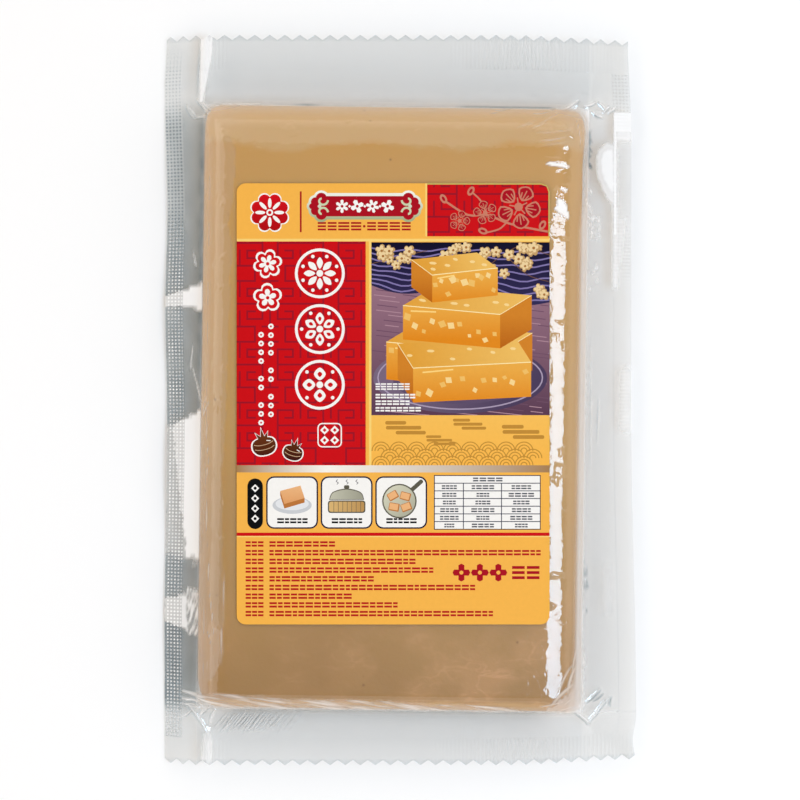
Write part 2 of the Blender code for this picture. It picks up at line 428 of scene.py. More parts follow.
@dataclass(frozen=True)
class Glare:
    """A painted highlight: a patch of film whitened as if it mirrored a bright surface.

    Its outline is convex and turns anticlockwise, and its rim is soft and ragged by those distances.
    """

    outline: tuple[Point, ...]
    strength: float = 0.8
    soft: float = 0.3
    ragged: float = 0.35
    streaked: float = 0.0

    def cover(self, x: Array, y: Array) -> Array:
        """Painted highlight share at each place: a smooth step over each side's distance, all multiplied.

        Steep slanting streaks of clear film take away the streaked share.

        Args:
            x: Places across.
            y: Places along.

        Returns:
            The share.
        """
        rough = self.ragged * (swell(x, y, 2.3, 31) + 0.6 * swell(x, y, 0.9, 32))
        share = np.full(np.broadcast(x, y).shape, self.strength)
        for start, end in zip(self.outline, self.outline[1:] + self.outline[:1]):
            run_x, run_y = end[0] - start[0], end[1] - start[1]
            depth = ((y - start[1]) * run_x - (x - start[0]) * run_y) / math.hypot(run_x, run_y)
            share = share * smooth_step((depth + rough) / self.soft + 0.5)
        streaks = smooth_step(0.5 + 1.8 * swell(0.94 * x - 0.35 * y, 0.07 * x + 0.19 * y, 0.9, 33))
        return share * (1.0 - self.streaked * streaks)


@dataclass(frozen=True)
class Flecks:
    """Small painted dabs on crumpled film over a box of the margin: highlights, and in DARK_FLECKS shade."""

    low: Point
    high: Point
    count: int
    seed: int
    strength: float = 0.6
    size: Point = (0.35, 0.8)

    def cover(self, x: Array, y: Array) -> Array:
        """Share of the painted dabs at each place: the largest of narrow leaning bells.

        Args:
            x: Places across.
            y: Places along.

        Returns:
            The share.
        """
        random = np.random.default_rng(self.seed)
        share = np.zeros(np.broadcast(x, y).shape)
        for _ in range(self.count):
            from_x = x - random.uniform(self.low[0], self.high[0])
            from_y = y - random.uniform(self.low[1], self.high[1])
            angle = random.uniform(-0.9, 0.9)
            across = from_x * math.cos(angle) + from_y * math.sin(angle)
            along = from_y * math.cos(angle) - from_x * math.sin(angle)
            dab = np.exp(-((across / self.size[0]) ** 2) - (along / self.size[1]) ** 2)
            share = np.maximum(share, random.uniform(0.5, 1.0) * self.strength * np.minimum(1.5 * dab, 1.0))
        return share


# Painted highlights on the margins: the wedge, the long patch and the streaked one on the left, then the
# streak above the cake's top left corner, the one below its bottom left corner, the right edge's, and
# last the splashes over the right shoulder, above the long highlight
GLARES = (
    Glare(((-80.6, 31.9), (-72.4, 32), (-72.4, 37.9), (-80.6, 35.2)), 0.95, 0.6, 0.4),
    Glare(((-72.9, 32.1), (-66, 29.2), (-66, 40), (-72.9, 37.6)), 0.95, 0.6, 0.4),
    Glare(((-77.6, -8.3), (-76.5, -21), (-72.8, -53), (-66, -54.2), (-66, -2.9)), 0.95, 1, 0.7),
    Glare(((-80.6, -52), (-72, -54), (-72, -6), (-80.6, -9)), 0.45, 2.4, 0.8),
    Glare(((-80.6, -75.6), (-72.2, -78), (-72.2, -66), (-80.6, -67.8)), 0.85, 1.2, 0.6),
    Glare(((-72.6, -78), (-66, -81.4), (-66, -64.8), (-72.6, -63.4)), 0.85, 1, 1, 0.85),
    Glare(((-70, -55.6), (-67, -55.6), (-67, -53), (-70, -53)), 0.6, 0.8, 0.6, 0.7),
    Glare(
        ((-68, 101.2), (-66.9, 101), (-65.9, 106), (-63.8, 117), (-63.6, 123.8), (-67.6, 123.8)),
        0.85, 0.7, 0.1,
    ),
    Glare(((-67.6, -122.6), (-63.8, -122.6), (-63.9, -113), (-66.4, -113)), 0.45, 1.2, 0.1),
    Glare(((73, 91), (79, 91), (79, 97.8), (73, 97.8)), 0.95, 0.6, 0.1),
    Glare(((73, 88), (79, 88), (79, 95), (73, 95)), 0.8, 2.4, 0.2),
    Glare(((72.7, 56), (73.6, 56), (73.6, 97.8), (72.7, 97.8)), 0.95, 0.4, 0.05),
    Glare(((72.4, 38), (74, 38), (74, 66), (72.4, 66)), 0.8, 2.4, 0.1),
    Glare(((66.6, 77.5), (69.2, 70), (73.4, 65), (73.4, 86.6), (69.8, 87.2), (66.8, 84)), 0.7, 1.3, 0.35),
    Glare(((67.4, 78), (69.8, 72), (73.4, 68), (73.4, 85.6), (70, 86), (67.6, 83)), 0.95, 3, 0.3),
    Glare(((57.8, -104.4), (62.4, -104.4), (62.4, -84), (60.8, -84)), 0.45, 1.4, 0.9),
    Glare(((47.5, -105.2), (62.2, -105.2), (62.2, -97), (57.2, -97.4), (51.5, -102.2)), 0.5, 1.4, 0.9),
    Glare(((73.6, 45), (75, 45), (77, 62), (73.6, 62)), 0.4, 2.2, 0.3),
    Glare(((74.5, -11), (80, -11), (80, 11), (74.5, 11)), 0.4, 5, 0.3),
    Glare(((69, -73), (72, -73), (72, -56), (69, -56)), 0.12, 2.4, 0.3),
    Glare(((49.1, 78.9), (50.5, 78.6), (56.7, 77.9), (57.2, 78.3), (56, 79.2), (50, 80.2)), 0.97, 0.4, 0.15),
    Glare(((54.2, 70.7), (55.6, 69.4), (56.5, 70.9)), 0.97, 0.3, 0.1),
    Glare(
        (
            (52.4, 68.2), (53.2, 63.2), (55, 61.4), (56.5, 60.4),
            (56.8, 62.1), (56.5, 64), (55.8, 66), (54.3, 67.3),
        ),
        0.97, 0.4, 0.3,
    ),
    Glare(((51.4, 64.4), (53.2, 63.1), (54.2, 64.2), (53, 65.4)), 0.97, 0.4, 0.15),
)
# Painted glints on crumpled film beside the cake's right side, and on the left margin's long patch
FLECKS = (
    Flecks((62.9, 53), (65.6, 71), 20, 51, 0.95, (0.3, 0.8)),
    Flecks((66.2, 54), (68.8, 62), 7, 52, 0.9, (0.3, 0.7)),
    Flecks((63, 37), (67, 47), 8, 53, 0.45, (0.35, 0.8)),
    Flecks((62.6, -5), (64.4, 12), 9, 54, 0.25, (0.25, 1.3)),
)
# Painted shade: dark dabs on crumpled film beside the cake's right side and on the left margin
DARK_FLECKS = (
    Flecks((61.6, -72), (63.8, -55), 22, 55, 0.55, (0.25, 0.7)),
    Flecks((62.9, 79), (64.5, 90.5), 18, 56, 0.95, (0.35, 1.1)),
    Flecks((-71, -29.5), (-68.6, -21.5), 8, 57, 0.8, (0.25, 0.35)),
)


def creases(*rows: tuple[float, ...]) -> tuple[Crease, ...]:
    """Folds from rows of x and y of both ends, then the height, width, bow, white and dark shares."""
    return tuple(Crease(row[:2], row[2:4], *row[4:]) for row in rows)


# The folds that the photograph shows, corner by corner, in millimetres from the middle of the pack
TOP_LEFT_FOLDS = creases(
    (-66.3, 126, -67.9, 101.5, 0.9, 1.5),
    (-72.9, 100.9, -69.5, 95.2, 0.5, 0.45, -0.5),
    (-71.8, 100, -68.9, 95.9, 0.4, 0.4, -0.4),
    (-70, 95.2, -65, 95.6, 0.5, 0.5, 0.5),
    (-69.4, 102.4, -64.8, 96, 0.7, 0.6, 0.3),
    (-67.2, 100.8, -63.4, 97.4, 0.5, 0.45),
    (-65.4, 97.8, -60, 99.5, 0.35, 0.4, 0.4),
)
TOP_RIGHT_FOLDS = creases(
    (53.9, 97.4, 61, 101.9, 0.3, 0.5, -0.4, 0.85, 0.5),
    (55.2, 97.1, 60.4, 100.6, 0.2, 0.4, -0.3, 0.7, 0.4),
    (62, 99.3, 66.8, 101.2, 0.25, 0.5, -0.5, 0.7, 0.4),
    (66.8, 101.4, 70.2, 98.2, 0.25, 0.5, 0, 0.5, 0.5),
    (64.8, 98.1, 69.2, 95.6, 0.3, 0.45, -0.5, 0.6, 0.7),
    (68.7, 97.1, 71.4, 99.8, 0.3, 0.45, 0, 0.7, 0.4),
    (70.5, 97.1, 73.2, 99.1, 0.3, 0.5, 0, 0.7, 0.4),
)
BOTTOM_LEFT_FOLDS = creases(
    (-73.4, -102.4, -67.2, -103.6, 0.55, 0.45, 1.2),
    (-73.6, -104, -67.8, -105, 0.4, 0.4, 1.2),
    (-72.4, -103.3, -65.4, -113.2, 0.6, 0.55, 0.6),
    (-68.3, -107.6, -64.1, -103.3, 0.55, 0.5),
    (-62.7, -104.4, -64.6, -110.2, 0.6, 0.55, -0.4),
    (-73.6, -107.9, -70.4, -105.1, 0.4, 0.4),
    (-65.6, -110, -65.7, -126, 0.8, 1.6),
)
BOTTOM_RIGHT_FOLDS = creases(
    (62.6, -102.9, 68.3, -97.8, 0.3, 0.5, -0.3, 0.25, 1),
    (64.9, -102.2, 69.2, -99.1, 0.25, 0.45, -0.4, 0.25, 1),
    (65.8, -107.8, 70.6, -101.7, 0.5, 0.5, 0.3, 0.6, 0.6),
    (71.1, -104.4, 71.7, -100.6, 0.25, 0.5, 0.4, 0.3, 1),
    (58, -105, 64.6, -110.4, 0.6, 0.6, 0.3, 0.7, 0.5),
    (63.4, -110.3, 67.2, -106.4, 0.5, 0.5, 0.3, 0.7, 0.4),
    (60.4, -80, 57.6, -94, 0.12, 0.6, -0.6, 0.6, 0),
    (59.7, -88, 55.8, -100, 0.14, 0.8, -0.8, 0.75, 0),
    (58.4, -88, 52.4, -101.4, 0.1, 0.6, -1, 0.7, 0),
    (60.8, -94, 49.5, -104.2, 0.15, 0.9, -1.2, 0.75, 0),
    (61.2, -97, 52, -103.6, 0.12, 0.7, 0.6, 0.7, 0),
    (61.4, -101.4, 51, -104.6, 0.12, 0.6, 0.5, 0.75, 0.1),
    (59, -99.6, 46, -103, 0.1, 0.5, 0.5, 0.7, 0.1),
)
FACE_FOLDS = creases(
    (46.8, 81.2, 58, 79.7, 0.14, 1, 0, 0, 0),
    (48, 69.9, 59, 69.3, 0.28, 4.6, 0, 0, 0),
    (50.3, 66.9, 57.6, 59.2, 0.06, 0.55, 0, 0, 0),
    (53.4, 72, 57.6, 71.5, 0.1, 0.8, 0, 0, 0),
    (54.6, 86.6, 58.4, 84.2, 0.16, 0.9, 0, 0, 0),
    (44, 90.8, 50.4, 94.8, 0.03, 0.6, -0.4, 0.3, 0),
    (45.5, 89.8, 59.8, 91.3, 0.03, 0.55, -0.6, 0.3, 0),
    (46.6, 86.8, 56.9, 88.3, 0.03, 0.6, -0.3, 0.35, 0),
    (47.8, 84.9, 58.2, 86.4, 0.03, 0.5, 0.3, 0.2, 0),
    (39.6, 91.3, 46, 94.3, 0.03, 0.6, -0.4, 0.25, 0),
    (48.6, 93.6, 56, 97, 0.03, 0.6, 0.3, 0.3, 0),
    (30, 95.6, 37.4, 98, 0.04, 0.4, 0.5, 0.5, 0.1),
    (42, 96.2, 52, 97.4, 0.04, 0.4, -0.5, 0.45, 0.1),
    (58.6, 96, 60.6, 84, 0.05, 0.5, 0.5, 0.4, 0.1),
)
SIDE_FOLDS = creases(
    (-70.9, 50.8, -69.2, 44.8, 0.15, 0.35, 0.3, 0.8, 0.2),
    (-71.8, 45.6, -69, 47, 0.1, 0.3, -0.4, 0.5, 0.2),
    (-70.5, 19.4, -71.6, 9.8, 0.2, 0.32, 0.2, 0.7, 0.1),
    (-71.8, 14, -67.2, -3.2, 0.3, 0.32, 0.5, 0.9, 0.1),
    (-66.5, 1.2, -64.4, -2.8, 0.1, 0.35, 0.3, 0.6, 0.2),
    (-64.3, -1.2, -66.6, -5.8, 0.12, 0.4, -0.4, 0.75, 0.3),
    (-66, 0.8, -66.6, -5, 0.1, 0.3, 0, 0.5, 0.1),
    (67.5, 1, 66.9, -14.5, 0.1, 0.28, 0, 0.35, 0.1),
    (64.6, 22, 64.4, -24, 0.05, 0.3, 0.2, 0.22, 0.08),
    (-65.1, -6.7, -65.4, -13.8, 0.12, 0.3, 0.1, 0.5, 0.15),
    (-65.5, -13, -64.5, -22.5, 0.12, 0.3, 0.2, 0.5, 0.15),
    (-64.6, -21.5, -65.3, -27.4, 0.12, 0.3, -0.1, 0.5, 0.15),
    (-65.2, -26.8, -64.8, -52.5, 0.1, 0.3, -0.2, 0.5, 0.15),
    (-64.9, -51.5, -64.6, -62, 0.12, 0.3, 0.2, 0.45, 0.15),
    (-65, -61, -62.6, -82, 0.12, 0.35, 0.4, 0.45, 0.15),
    (-65.8, -75.5, -62.9, -85.5, 0.12, 0.35, 0.3, 0.4, 0.15),
    (-59.7, -55, -59.3, -76, 0.02, 0.4, 0.2, 0.4, 0),
    (-59.4, -72, -60.4, -89.6, 0.03, 0.4, -0.3, 0.55, 0),
)


def combed_wrinkles() -> tuple[Crease, ...]:
    """The fine slanting wrinkles in the bottom margin, side by side under the cake's left half.

    Returns:
        The wrinkles, from left to right.
    """
    random = np.random.default_rng(5)
    made = []
    for start in np.arange(-58.0, -32.0, 1.02):
        top = (float(start + random.uniform(-0.2, 0.2)), -104.9 - float(random.uniform(0.0, 0.8)))
        foot = (top[0] - 5.2 - float(random.uniform(0.0, 0.9)), -111.6 - float(random.uniform(0.0, 1.6)))
        share = math.exp(-(((start + 49.0) / 8.5) ** 2))
        bow = float(random.uniform(-0.3, 0.4))
        made.append(Crease(top, foot, 0.04 + 0.09 * share, 0.3, bow, 0.1 + 0.45 * share, 0.1 + 0.5 * share))
    return tuple(made)


@dataclass
class PouchForm:
    """The pouch's shape: where its edges and the cake's sides are, and how high its two skins run.

    Every height is worked out for whole arrays of places. The sizes are those of the CAD source, but
    each side of the cake is 0.2 to 0.6 mm from its place there. The headroom is left over the face for
    its unevenness, and the film's margin stays above the floor by its gap.
    """

    width: float
    length: float
    thickness: float
    cake_width: float = 129.8
    cake_length: float = 204.15
    cake_centre: Point = (-2.6, -2.83)
    cake_turn: float = math.radians(0.75)
    shoulders: tuple[float, float, float, float] = (11.0, 12.0, 6.0, 19.0)
    shoulder_power: float = 2.2
    shoulder_root: float = 3.0
    corner_power: float = 5.0
    base_round: float = 7.0
    base_corner_power: float = 3.0
    seam_height: float = 11.0
    film_thickness: float = 0.26
    headroom: float = 0.06
    floor_gap: float = 0.3
    margin_lowest: float = 0.9
    droops: tuple[float, float, float, float] = (1.0, 0.6, 0.2, 0.2)
    droop_power: float = 1.1
    fillet_height: float = 1.3
    fillet_reach: float = 0.8
    lower_fillet_reach: float = 0.03
    wave_height: float = 2.2
    wave_length: float = 54.0
    wave_crest: float = -23.0
    tooth_pitch: float = 5.1
    tooth_depth: float = 1.8
    side_band: float = 6.3
    top_band: float = 10.0
    bottom_band: float = 7.4
    left_wander: tuple[Point, ...] = (
        (-80, 0), (-12, 1), (32, 0.4), (64, 1), (107, 0), (124, 0.8),
    )
    right_wander: tuple[Point, ...] = (
        (-124, 0.3), (-118, 1.1), (-107, 0), (0, 1.8), (90, 1.7), (124, 2.8),
    )
    end_slant: float = 1.5
    hem: tuple[Point, ...] = (
        (-60, 5.8), (-50, 5.4), (-39, 4.5), (0, 4.1), (17, 3.2), (34, 3), (43, 0.6),
    )
    pale_edge: tuple[Point, ...] = (
        (-95.3, -64.5), (-92.8, -62.5), (-88.6, -60.6), (-85, -59.2), (-79, -59.8), (-67, -59.4),
        (-51, -59.7), (-24, -59.7), (-13, -58.9), (17, -57.8), (30, -57.4), (33.7, -56.9),
        (40.5, -57.3), (49.5, -56.1), (58.7, -57.6), (68.3, -56.2), (77.7, -55.2), (85, -55.4), (91, -58),
    )
    folds: tuple[Crease, ...] = field(
        default_factory=lambda: TOP_LEFT_FOLDS + TOP_RIGHT_FOLDS + BOTTOM_LEFT_FOLDS
        + BOTTOM_RIGHT_FOLDS + FACE_FOLDS + SIDE_FOLDS + combed_wrinkles()
    )

    @staticmethod
    def wander(y: Array, points: tuple[Point, ...]) -> Array:
        """How far in an edge is at y: smooth steps from each (place, distance) to the next."""
        distance = points[0][1]
        for (start, before), (end, after) in zip(points, points[1:]):
            distance = distance + (after - before) * smooth_step((y - start) / (end - start))
        return distance

    def left_edge(self, y: Array) -> Array:
        """x of the pouch's left edge at y."""
        return -self.width / 2 + self.wander(y, self.left_wander)

    def right_edge(self, y: Array) -> Array:
        """x of the pouch's right edge at y."""
        return self.width / 2 - self.wander(y, self.right_wander)

    def end_edge(self, x: Array, sign: int) -> Array:
        """y of the line of valleys between the teeth, at the top (sign 1) or the bottom (sign -1)."""
        slant = self.end_slant * smooth_step((x - 35.0) / 40.0)
        return sign * (self.length / 2 - self.tooth_depth - slant)

    def cake_sides(self, x: Array, y: Array) -> tuple[Array, Array, Array, Array]:
        """Where the cake's left, right, bottom and top sides are: x at that y, or y at that x.

        Args:
            x: Places across.
            y: Places along.

        Returns:
            The four sides' places.
        """
        lean = math.tan(self.cake_turn)
        middle_x = self.cake_centre[0] + (y - self.cake_centre[1]) * lean
        middle_y = self.cake_centre[1] - (x - self.cake_centre[0]) * lean
        half_x, half_y = self.cake_width / 2, self.cake_length / 2
        return middle_x - half_x, middle_x + half_x, middle_y - half_y, middle_y + half_y

    def margin_height(self, x: Array, y: Array) -> Array:
        """Height of the middle of the sealed margin, which bends down from the seam to its edges.

        Each edge takes its droop's share of the way down, as the power of how far out a place is. The
        left edge also rises and falls in waves, less towards the pouch's ends.

        Args:
            x: Places across.
            y: Places along.

        Returns:
            The height at each place.
        """
        left, right, bottom, top = self.cake_sides(x, y)
        outwards = (
            (left - x) / (left + self.width / 2),
            (x - right) / (self.width / 2 - right),
            (bottom - y) / (bottom + self.length / 2),
            (y - top) / (self.length / 2 - top),
        )
        left_over = 1.0
        for droop, share in zip(self.droops, outwards):
            left_over = left_over * (1.0 - droop * np.clip(share, 0.0, 1.0) ** self.droop_power)
        hanging = self.margin_lowest + (self.seam_height - self.margin_lowest) * left_over
        wave = self.wave_height * raised_cosine(y - self.wave_crest, self.wave_length)
        wave = wave * np.cos(math.pi * y / self.length) ** 2
        return hanging + wave * np.clip(outwards[0], 0.0, 1.0)

    def reach(self, x: Array, y: Array, widths: tuple[float, ...], power: float) -> tuple[Array, Array]:
        """How far each place is over the cake's shoulder: 0 on its flat face and 1 at its side.

        Args:
            x: Places across.
            y: Places along.
            widths: Widths of the left, right, bottom and top shoulders.
            power: How square the corners are, seen from above.

        Returns:
            That share, and how many millimetres beyond the side each place is.
        """
        left, right, bottom, top = self.cake_sides(x, y)
        on_left = x < (left + right) / 2
        on_bottom = y < (bottom + top) / 2
        width_across = np.where(on_left, widths[0], widths[1])
        width_along = np.where(on_bottom, widths[2], widths[3])
        across = np.maximum(1.0 - np.where(on_left, x - left, right - x) / width_across, 0.0)
        along = np.maximum(1.0 - np.where(on_bottom, y - bottom, top - y) / width_along, 0.0)
        share = (across**power + along**power) ** (1.0 / power)
        return share, (share - 1.0) * np.where(across > along, width_across, width_along)

    def slack(self, x: Array, y: Array) -> Array:
        """Height of all the folds together at each place."""
        return sum(fold.lift(x, y) for fold in self.folds)

    def painted_light(self, x: Array, y: Array) -> tuple[Array, Array]:
        """The painted highlights and painted shade of the film at each place.

        The folds, the dabs, the bright patches and the pale film along the cake's sides whiten it with
        painted highlights, and the largest share holds. The folds, the dark dabs and the cake's painted
        shadow darken it with painted shade.

        Args:
            x: Places across.
            y: Places along.

        Returns:
            The "haze_and_highlight" and "shade_and_steel" shares.
        """
        left, _, bottom, top = self.cake_sides(x, y)
        in_block = between(y, bottom - 0.8, 1.2, top + 0.8, 1.2)
        patch = np.maximum.reduce([glare.cover(x, y) for glare in GLARES])
        patch = patch * (1.0 - np.where(x < 0.0, smooth_step((x - left + 0.1) / 0.35) * in_block, 0.0))
        pale, dim = self.painted_film_light(x, y, in_block)
        whites, darks = zip(*(fold.glint(x, y) for fold in self.folds))
        white = np.maximum.reduce([*whites, *(flecks.cover(x, y) for flecks in FLECKS), patch, pale])
        dark = np.maximum.reduce([*darks, *(flecks.cover(x, y) for flecks in DARK_FLECKS), dim])
        return np.clip(white, 0.0, 0.97), np.clip((dark + self.shadow(x, y)) * (1.0 - patch), 0.0, 1.0)

    def painted_film_light(self, x: Array, y: Array, in_block: Array) -> tuple[Array, Array]:
        """Painted highlights and painted shade of the film where it stands off the cake.

        It has painted highlights over the right rim, the hem and the top corners, painted reflections in
        bands down both sides, and a line along the cake's top edge, painted highlight at the left and
        painted shade further on.

        Args:
            x: Places across.
            y: Places along.
            in_block: 1 where a place is level with the cake, and 0 above and below it.

        Returns:
            The film's "haze_and_highlight" and "shade_and_steel" shares there.
        """
        left, right, bottom, top = self.cake_sides(x, y)
        start = 3.9 - 1.6 * smooth_step((y - 56.0) / 18.0) + 3.6 * bell(y, bottom, 9.0)
        rim = 0.62 * between(x, right - start, 3.4, right + 1.2, 1.0) * in_block
        rim = rim + 0.2 * self.hem_share(x, y) + 0.2 * between(y, top - 5.0, 4.4, top + 0.6, 0.8)
        top_corners = 0.2 * bell(x, right - 1.0, 9.0) + 0.12 * bell(x, left + 3.0, 8.0)
        rim = rim + top_corners * bell(y, top - 2.0, 11.0) * in_block
        rim = rim * np.where(x > right + 0.6, in_block * 0.3, 1.0) * smooth_step((x - left) / 2.0)
        # Painted highlight: a thin wavy line down the left shoulder
        gleam = 0.16 * bell(x, left + 2.4, 0.8) * (0.7 + 0.5 * swell(0.3 * x, y, 11.0, 62))
        gleam = gleam * between(y, bottom + 6.0, 6.0, top - 5.0, 5.0)
        edge = np.interp(y, *np.array(self.pale_edge).T) + 0.45 * swell(x, y, 3.2, 42)
        band = smooth_step((edge - x) / 0.45 + 0.5) * smooth_step((x - left) / 1.2) * in_block
        band = band * smooth_step((top - 8.0 - y) / 7.0)
        beyond = smooth_step((x - right + 8.0) / 2.6 + 0.5) * smooth_step((right - x) / 3.0) * in_block
        low_down = smooth_step((-70.0 - y) / 14.0)
        bands = (0.115 + 0.03 * low_down) * band + 0.04 * beyond + gleam
        crest = bell(y, top + 0.35, 0.35)
        white_line = 0.5 * crest * between(x, -61.0, 2.0, -44.0, 6.0)
        dark_line = 0.6 * crest * (between(x, 18.0, 5.0, 53.0, 3.0) + bell(x, -31.5, 3.0))
        dim = np.maximum(0.08 * band * (1.0 - low_down) + 0.05 * beyond, dark_line)
        return np.maximum.reduce([rim, bands, white_line]), dim

    def shadow(self, x: Array, y: Array) -> Array:
        """Painted shadow on the margins: down the left one, close under the cake, and faintly at both ends.

        Args:
            x: Places across.
            y: Places along.

        Returns:
            What they add to the "shade_and_steel" share.
        """
        left, _, bottom, top = self.cake_sides(x, y)
        dark = 0.32 * smooth_step((left + 0.3 - x) / 1.2) * between(y, -108.0, 7.0, 104.0, 12.0)
        dark = dark * (1.0 + 0.25 * smooth_step((-66.0 - y) / 10.0) + 0.22 * swell(x, 0.5 * y, 4.0, 63))
        beside = bell(np.maximum(left - x, 0.0), 0.0, 1.7) * smooth_step((left + 0.5 - x) / 0.6)
        beside = beside * between(y, -6.0, 30.0, 97.0, 8.0)
        dark = dark + 0.4 * beside * (0.85 + 0.6 * swell(x, 0.6 * y, 2.6, 64))
        below = np.maximum(bottom - y, 0.0)
        under = (0.25 * np.exp(-below / 2.4) + 0.06 * bell(below, 0.0, 7.0)) * (below > 0.0)
        dark = dark + under * between(x, -62.0, 8.0, 54.0, 12.0)
        return dark + 0.055 * smooth_step((y - top - 2.0) / 6.0) + 0.035 * smooth_step((below - 5.0) / 6.0)

    def hem_share(self, x: Array, y: Array) -> Array:
        """Share of the pleated hem at each place: a strip along the cake's bottom edge."""
        _, _, bottom, _ = self.cake_sides(x, y)
        depth = np.interp(x, *np.array(self.hem).T) + 0.5 * swell(x, y, 5.0, 65)
        return between(y, bottom - 0.8, 0.8, bottom + depth, 0.8)

    def crinkle(self, x: Array, y: Array) -> Array:
        """How crumpled the film is: most over the right shoulder, less over the left and the top ones.

        Args:
            x: Places across.
            y: Places along.

        Returns:
            The "crinkle" share.
        """
        left, right, bottom, top = self.cake_sides(x, y)
        over_right = between(x, right - 12.6, 1.4, right - 4.0, 2.0)
        over_left = 0.6 * between(x, left + 1.0, 2.0, left + 11.0, 2.0)
        over_top = 0.25 * between(y, top - 22.0, 8.0, top - 2.0, 2.0)
        inside = between(y, bottom + 2.0, 3.0, top - 2.0, 3.0)
        return np.maximum.reduce([over_right, over_left, over_top]) * inside

    def face_relief(self, x: Array, y: Array) -> Array:
        """The unevenness of the cake's face, which the tight film follows: broad swells and small ones.

        The small ones are stronger towards the right and left sides.

        Args:
            x: Places across.
            y: Places along.

        Returns:
            How far the face is raised.
        """
        broad = 0.022 * swell(x, y, 21.0, 11)
        middle = 0.006 * swell(x, y, 6.5, 12)
        to_sides = smooth_step((np.abs(x - self.cake_centre[0]) - 51.0) / 4.0)
        small = (0.003 + 0.012 * to_sides) * swell(x, y, 2.4, 13)
        return broad + middle + small

    def shoulder(self, share: Array) -> Array:
        """Height of the shoulder as a share of its drop: a root of one less a power of the reach."""
        return (1.0 - np.clip(share, 0.0, 1.0) ** self.shoulder_power) ** (1.0 / self.shoulder_root)

    def rounded(self, x: Array, y: Array) -> tuple[Array, Array]:
        """Draws a block's square corners in so that its rim runs where the shoulder ends.

        Over a corner, a place keeps its direction from the flat face's corner, and its larger share of
        the way to a side becomes its reach.

        Args:
            x: Places across, on the square block.
            y: Places along.

        Returns:
            The places on the rounded block.
        """
        left, right, bottom, top = self.cake_sides(x, y)
        on_left, on_bottom = x < (left + right) / 2, y < (bottom + top) / 2
        side_x, side_y = np.where(on_left, left, right), np.where(on_bottom, bottom, top)
        width_x = np.where(on_left, self.shoulders[0], -self.shoulders[1])
        width_y = np.where(on_bottom, self.shoulders[2], -self.shoulders[3])
        across = np.maximum(1.0 - (x - side_x) / width_x, 0.0)
        along = np.maximum(1.0 - (y - side_y) / width_y, 0.0)
        reach = (across**self.corner_power + along**self.corner_power) ** (1.0 / self.corner_power)
        rounded = np.minimum(across, along) > 0.0
        scale = np.where(rounded, np.maximum(across, along) / np.maximum(reach, 1e-9), 1.0)
        return (
            np.where(across > 0.0, side_x + (1.0 - across * scale) * width_x, x),
            np.where(along > 0.0, side_y + (1.0 - along * scale) * width_y, y),
        )

    def upper(self, x: Array, y: Array) -> Array:
        """Height of the upper skin: the face, its shoulders, the fillet and the margin.

        Args:
            x: Places across.
            y: Places along.

        Returns:
            The height at each place.
        """
        share, outside = self.reach(x, y, self.shoulders, self.corner_power)
        foot = self.seam_height + self.film_thickness / 2 + self.fillet_height
        shoulder = self.shoulder(share)
        drop = self.thickness - self.headroom - foot
        on_cake = foot + drop * shoulder + self.face_relief(x, y) * shoulder
        fillet = self.fillet_height * np.exp(-np.maximum(outside, 0.0) / self.fillet_reach)
        on_margin = self.margin_height(x, y) + self.film_thickness / 2 + fillet
        return np.where(share < 1.0, on_cake, on_margin) + self.slack(x, y)

    def lower(self, x: Array, y: Array) -> Array:
        """Height of the lower skin: flat under the cake, then round, and up to the margin.

        Args:
            x: Places across.
            y: Places along.

        Returns:
            The height at each place.
        """
        widths = (self.base_round,) * 4
        share, outside = self.reach(x, y, widths, self.base_corner_power)
        foot = self.seam_height - self.film_thickness / 2 - self.fillet_height
        on_cake = foot * (1.0 - np.sqrt(1.0 - np.clip(share, 0.0, 1.0) ** 2))
        fillet = self.fillet_height * np.exp(-np.maximum(outside, 0.0) / self.lower_fillet_reach)
        on_margin = self.margin_height(x, y) - self.film_thickness / 2 - fillet + self.slack(x, y)
        return np.where(share < 1.0, on_cake, np.maximum(on_margin, self.floor_gap))

    def place(self, columns: Array, rows: Array) -> tuple[Array, Array]:
        """Carries grid lines from their places on a straight pouch to those on the real one.

        The knots across are the edges, the seals' inner lines and the cake's sides, and those along are
        the like. Between two knots, a line keeps its share of the way.

        Args:
            columns: Each column's x at y = 0.
            rows: Each row's y at x = 0.

        Returns:
            x and y of each crossing, with a row of the arrays for each grid row.
        """
        x = self.across(columns, rows)
        still = self.along_knots(0.0)
        moved = np.stack(np.broadcast_arrays(*self.along_knots(x)), axis=-1)
        y = np.empty_like(x)
        for index, row in enumerate(rows):
            low = int(np.clip(np.searchsorted(still, row) - 1, 0, len(still) - 2))
            share = (row - still[low]) / (still[low + 1] - still[low])
            y[index] = moved[index, :, low] * (1.0 - share) + moved[index, :, low + 1] * share
        return x, y

    def across(self, columns: Array, rows: Array) -> Array:
        """x of each crossing of the columns and rows."""
        still = self.across_knots(0.0)
        moved = np.stack(np.broadcast_arrays(*self.across_knots(rows)), axis=-1)
        return np.stack([np.interp(columns, still, knots) for knots in moved])

    def across_knots(self, y: Array) -> tuple[Array, ...]:
        """x of the lines that the columns keep to: edges, seals and the cake's sides."""
        left, right, _, _ = self.cake_sides(0.0, y)
        low, high = self.left_edge(y), self.right_edge(y)
        return low, low + self.side_band, left, right, high - self.side_band, high

    def along_knots(self, x: Array) -> tuple[Array, ...]:
        """y of the lines that the rows keep to: valleys of the teeth, seals and the cake's ends."""
        _, _, bottom, top = self.cake_sides(x, 0.0)
        low, high = self.end_edge(x, -1), self.end_edge(x, 1)
        return low, low + self.bottom_band, bottom, top, high - self.top_band, high

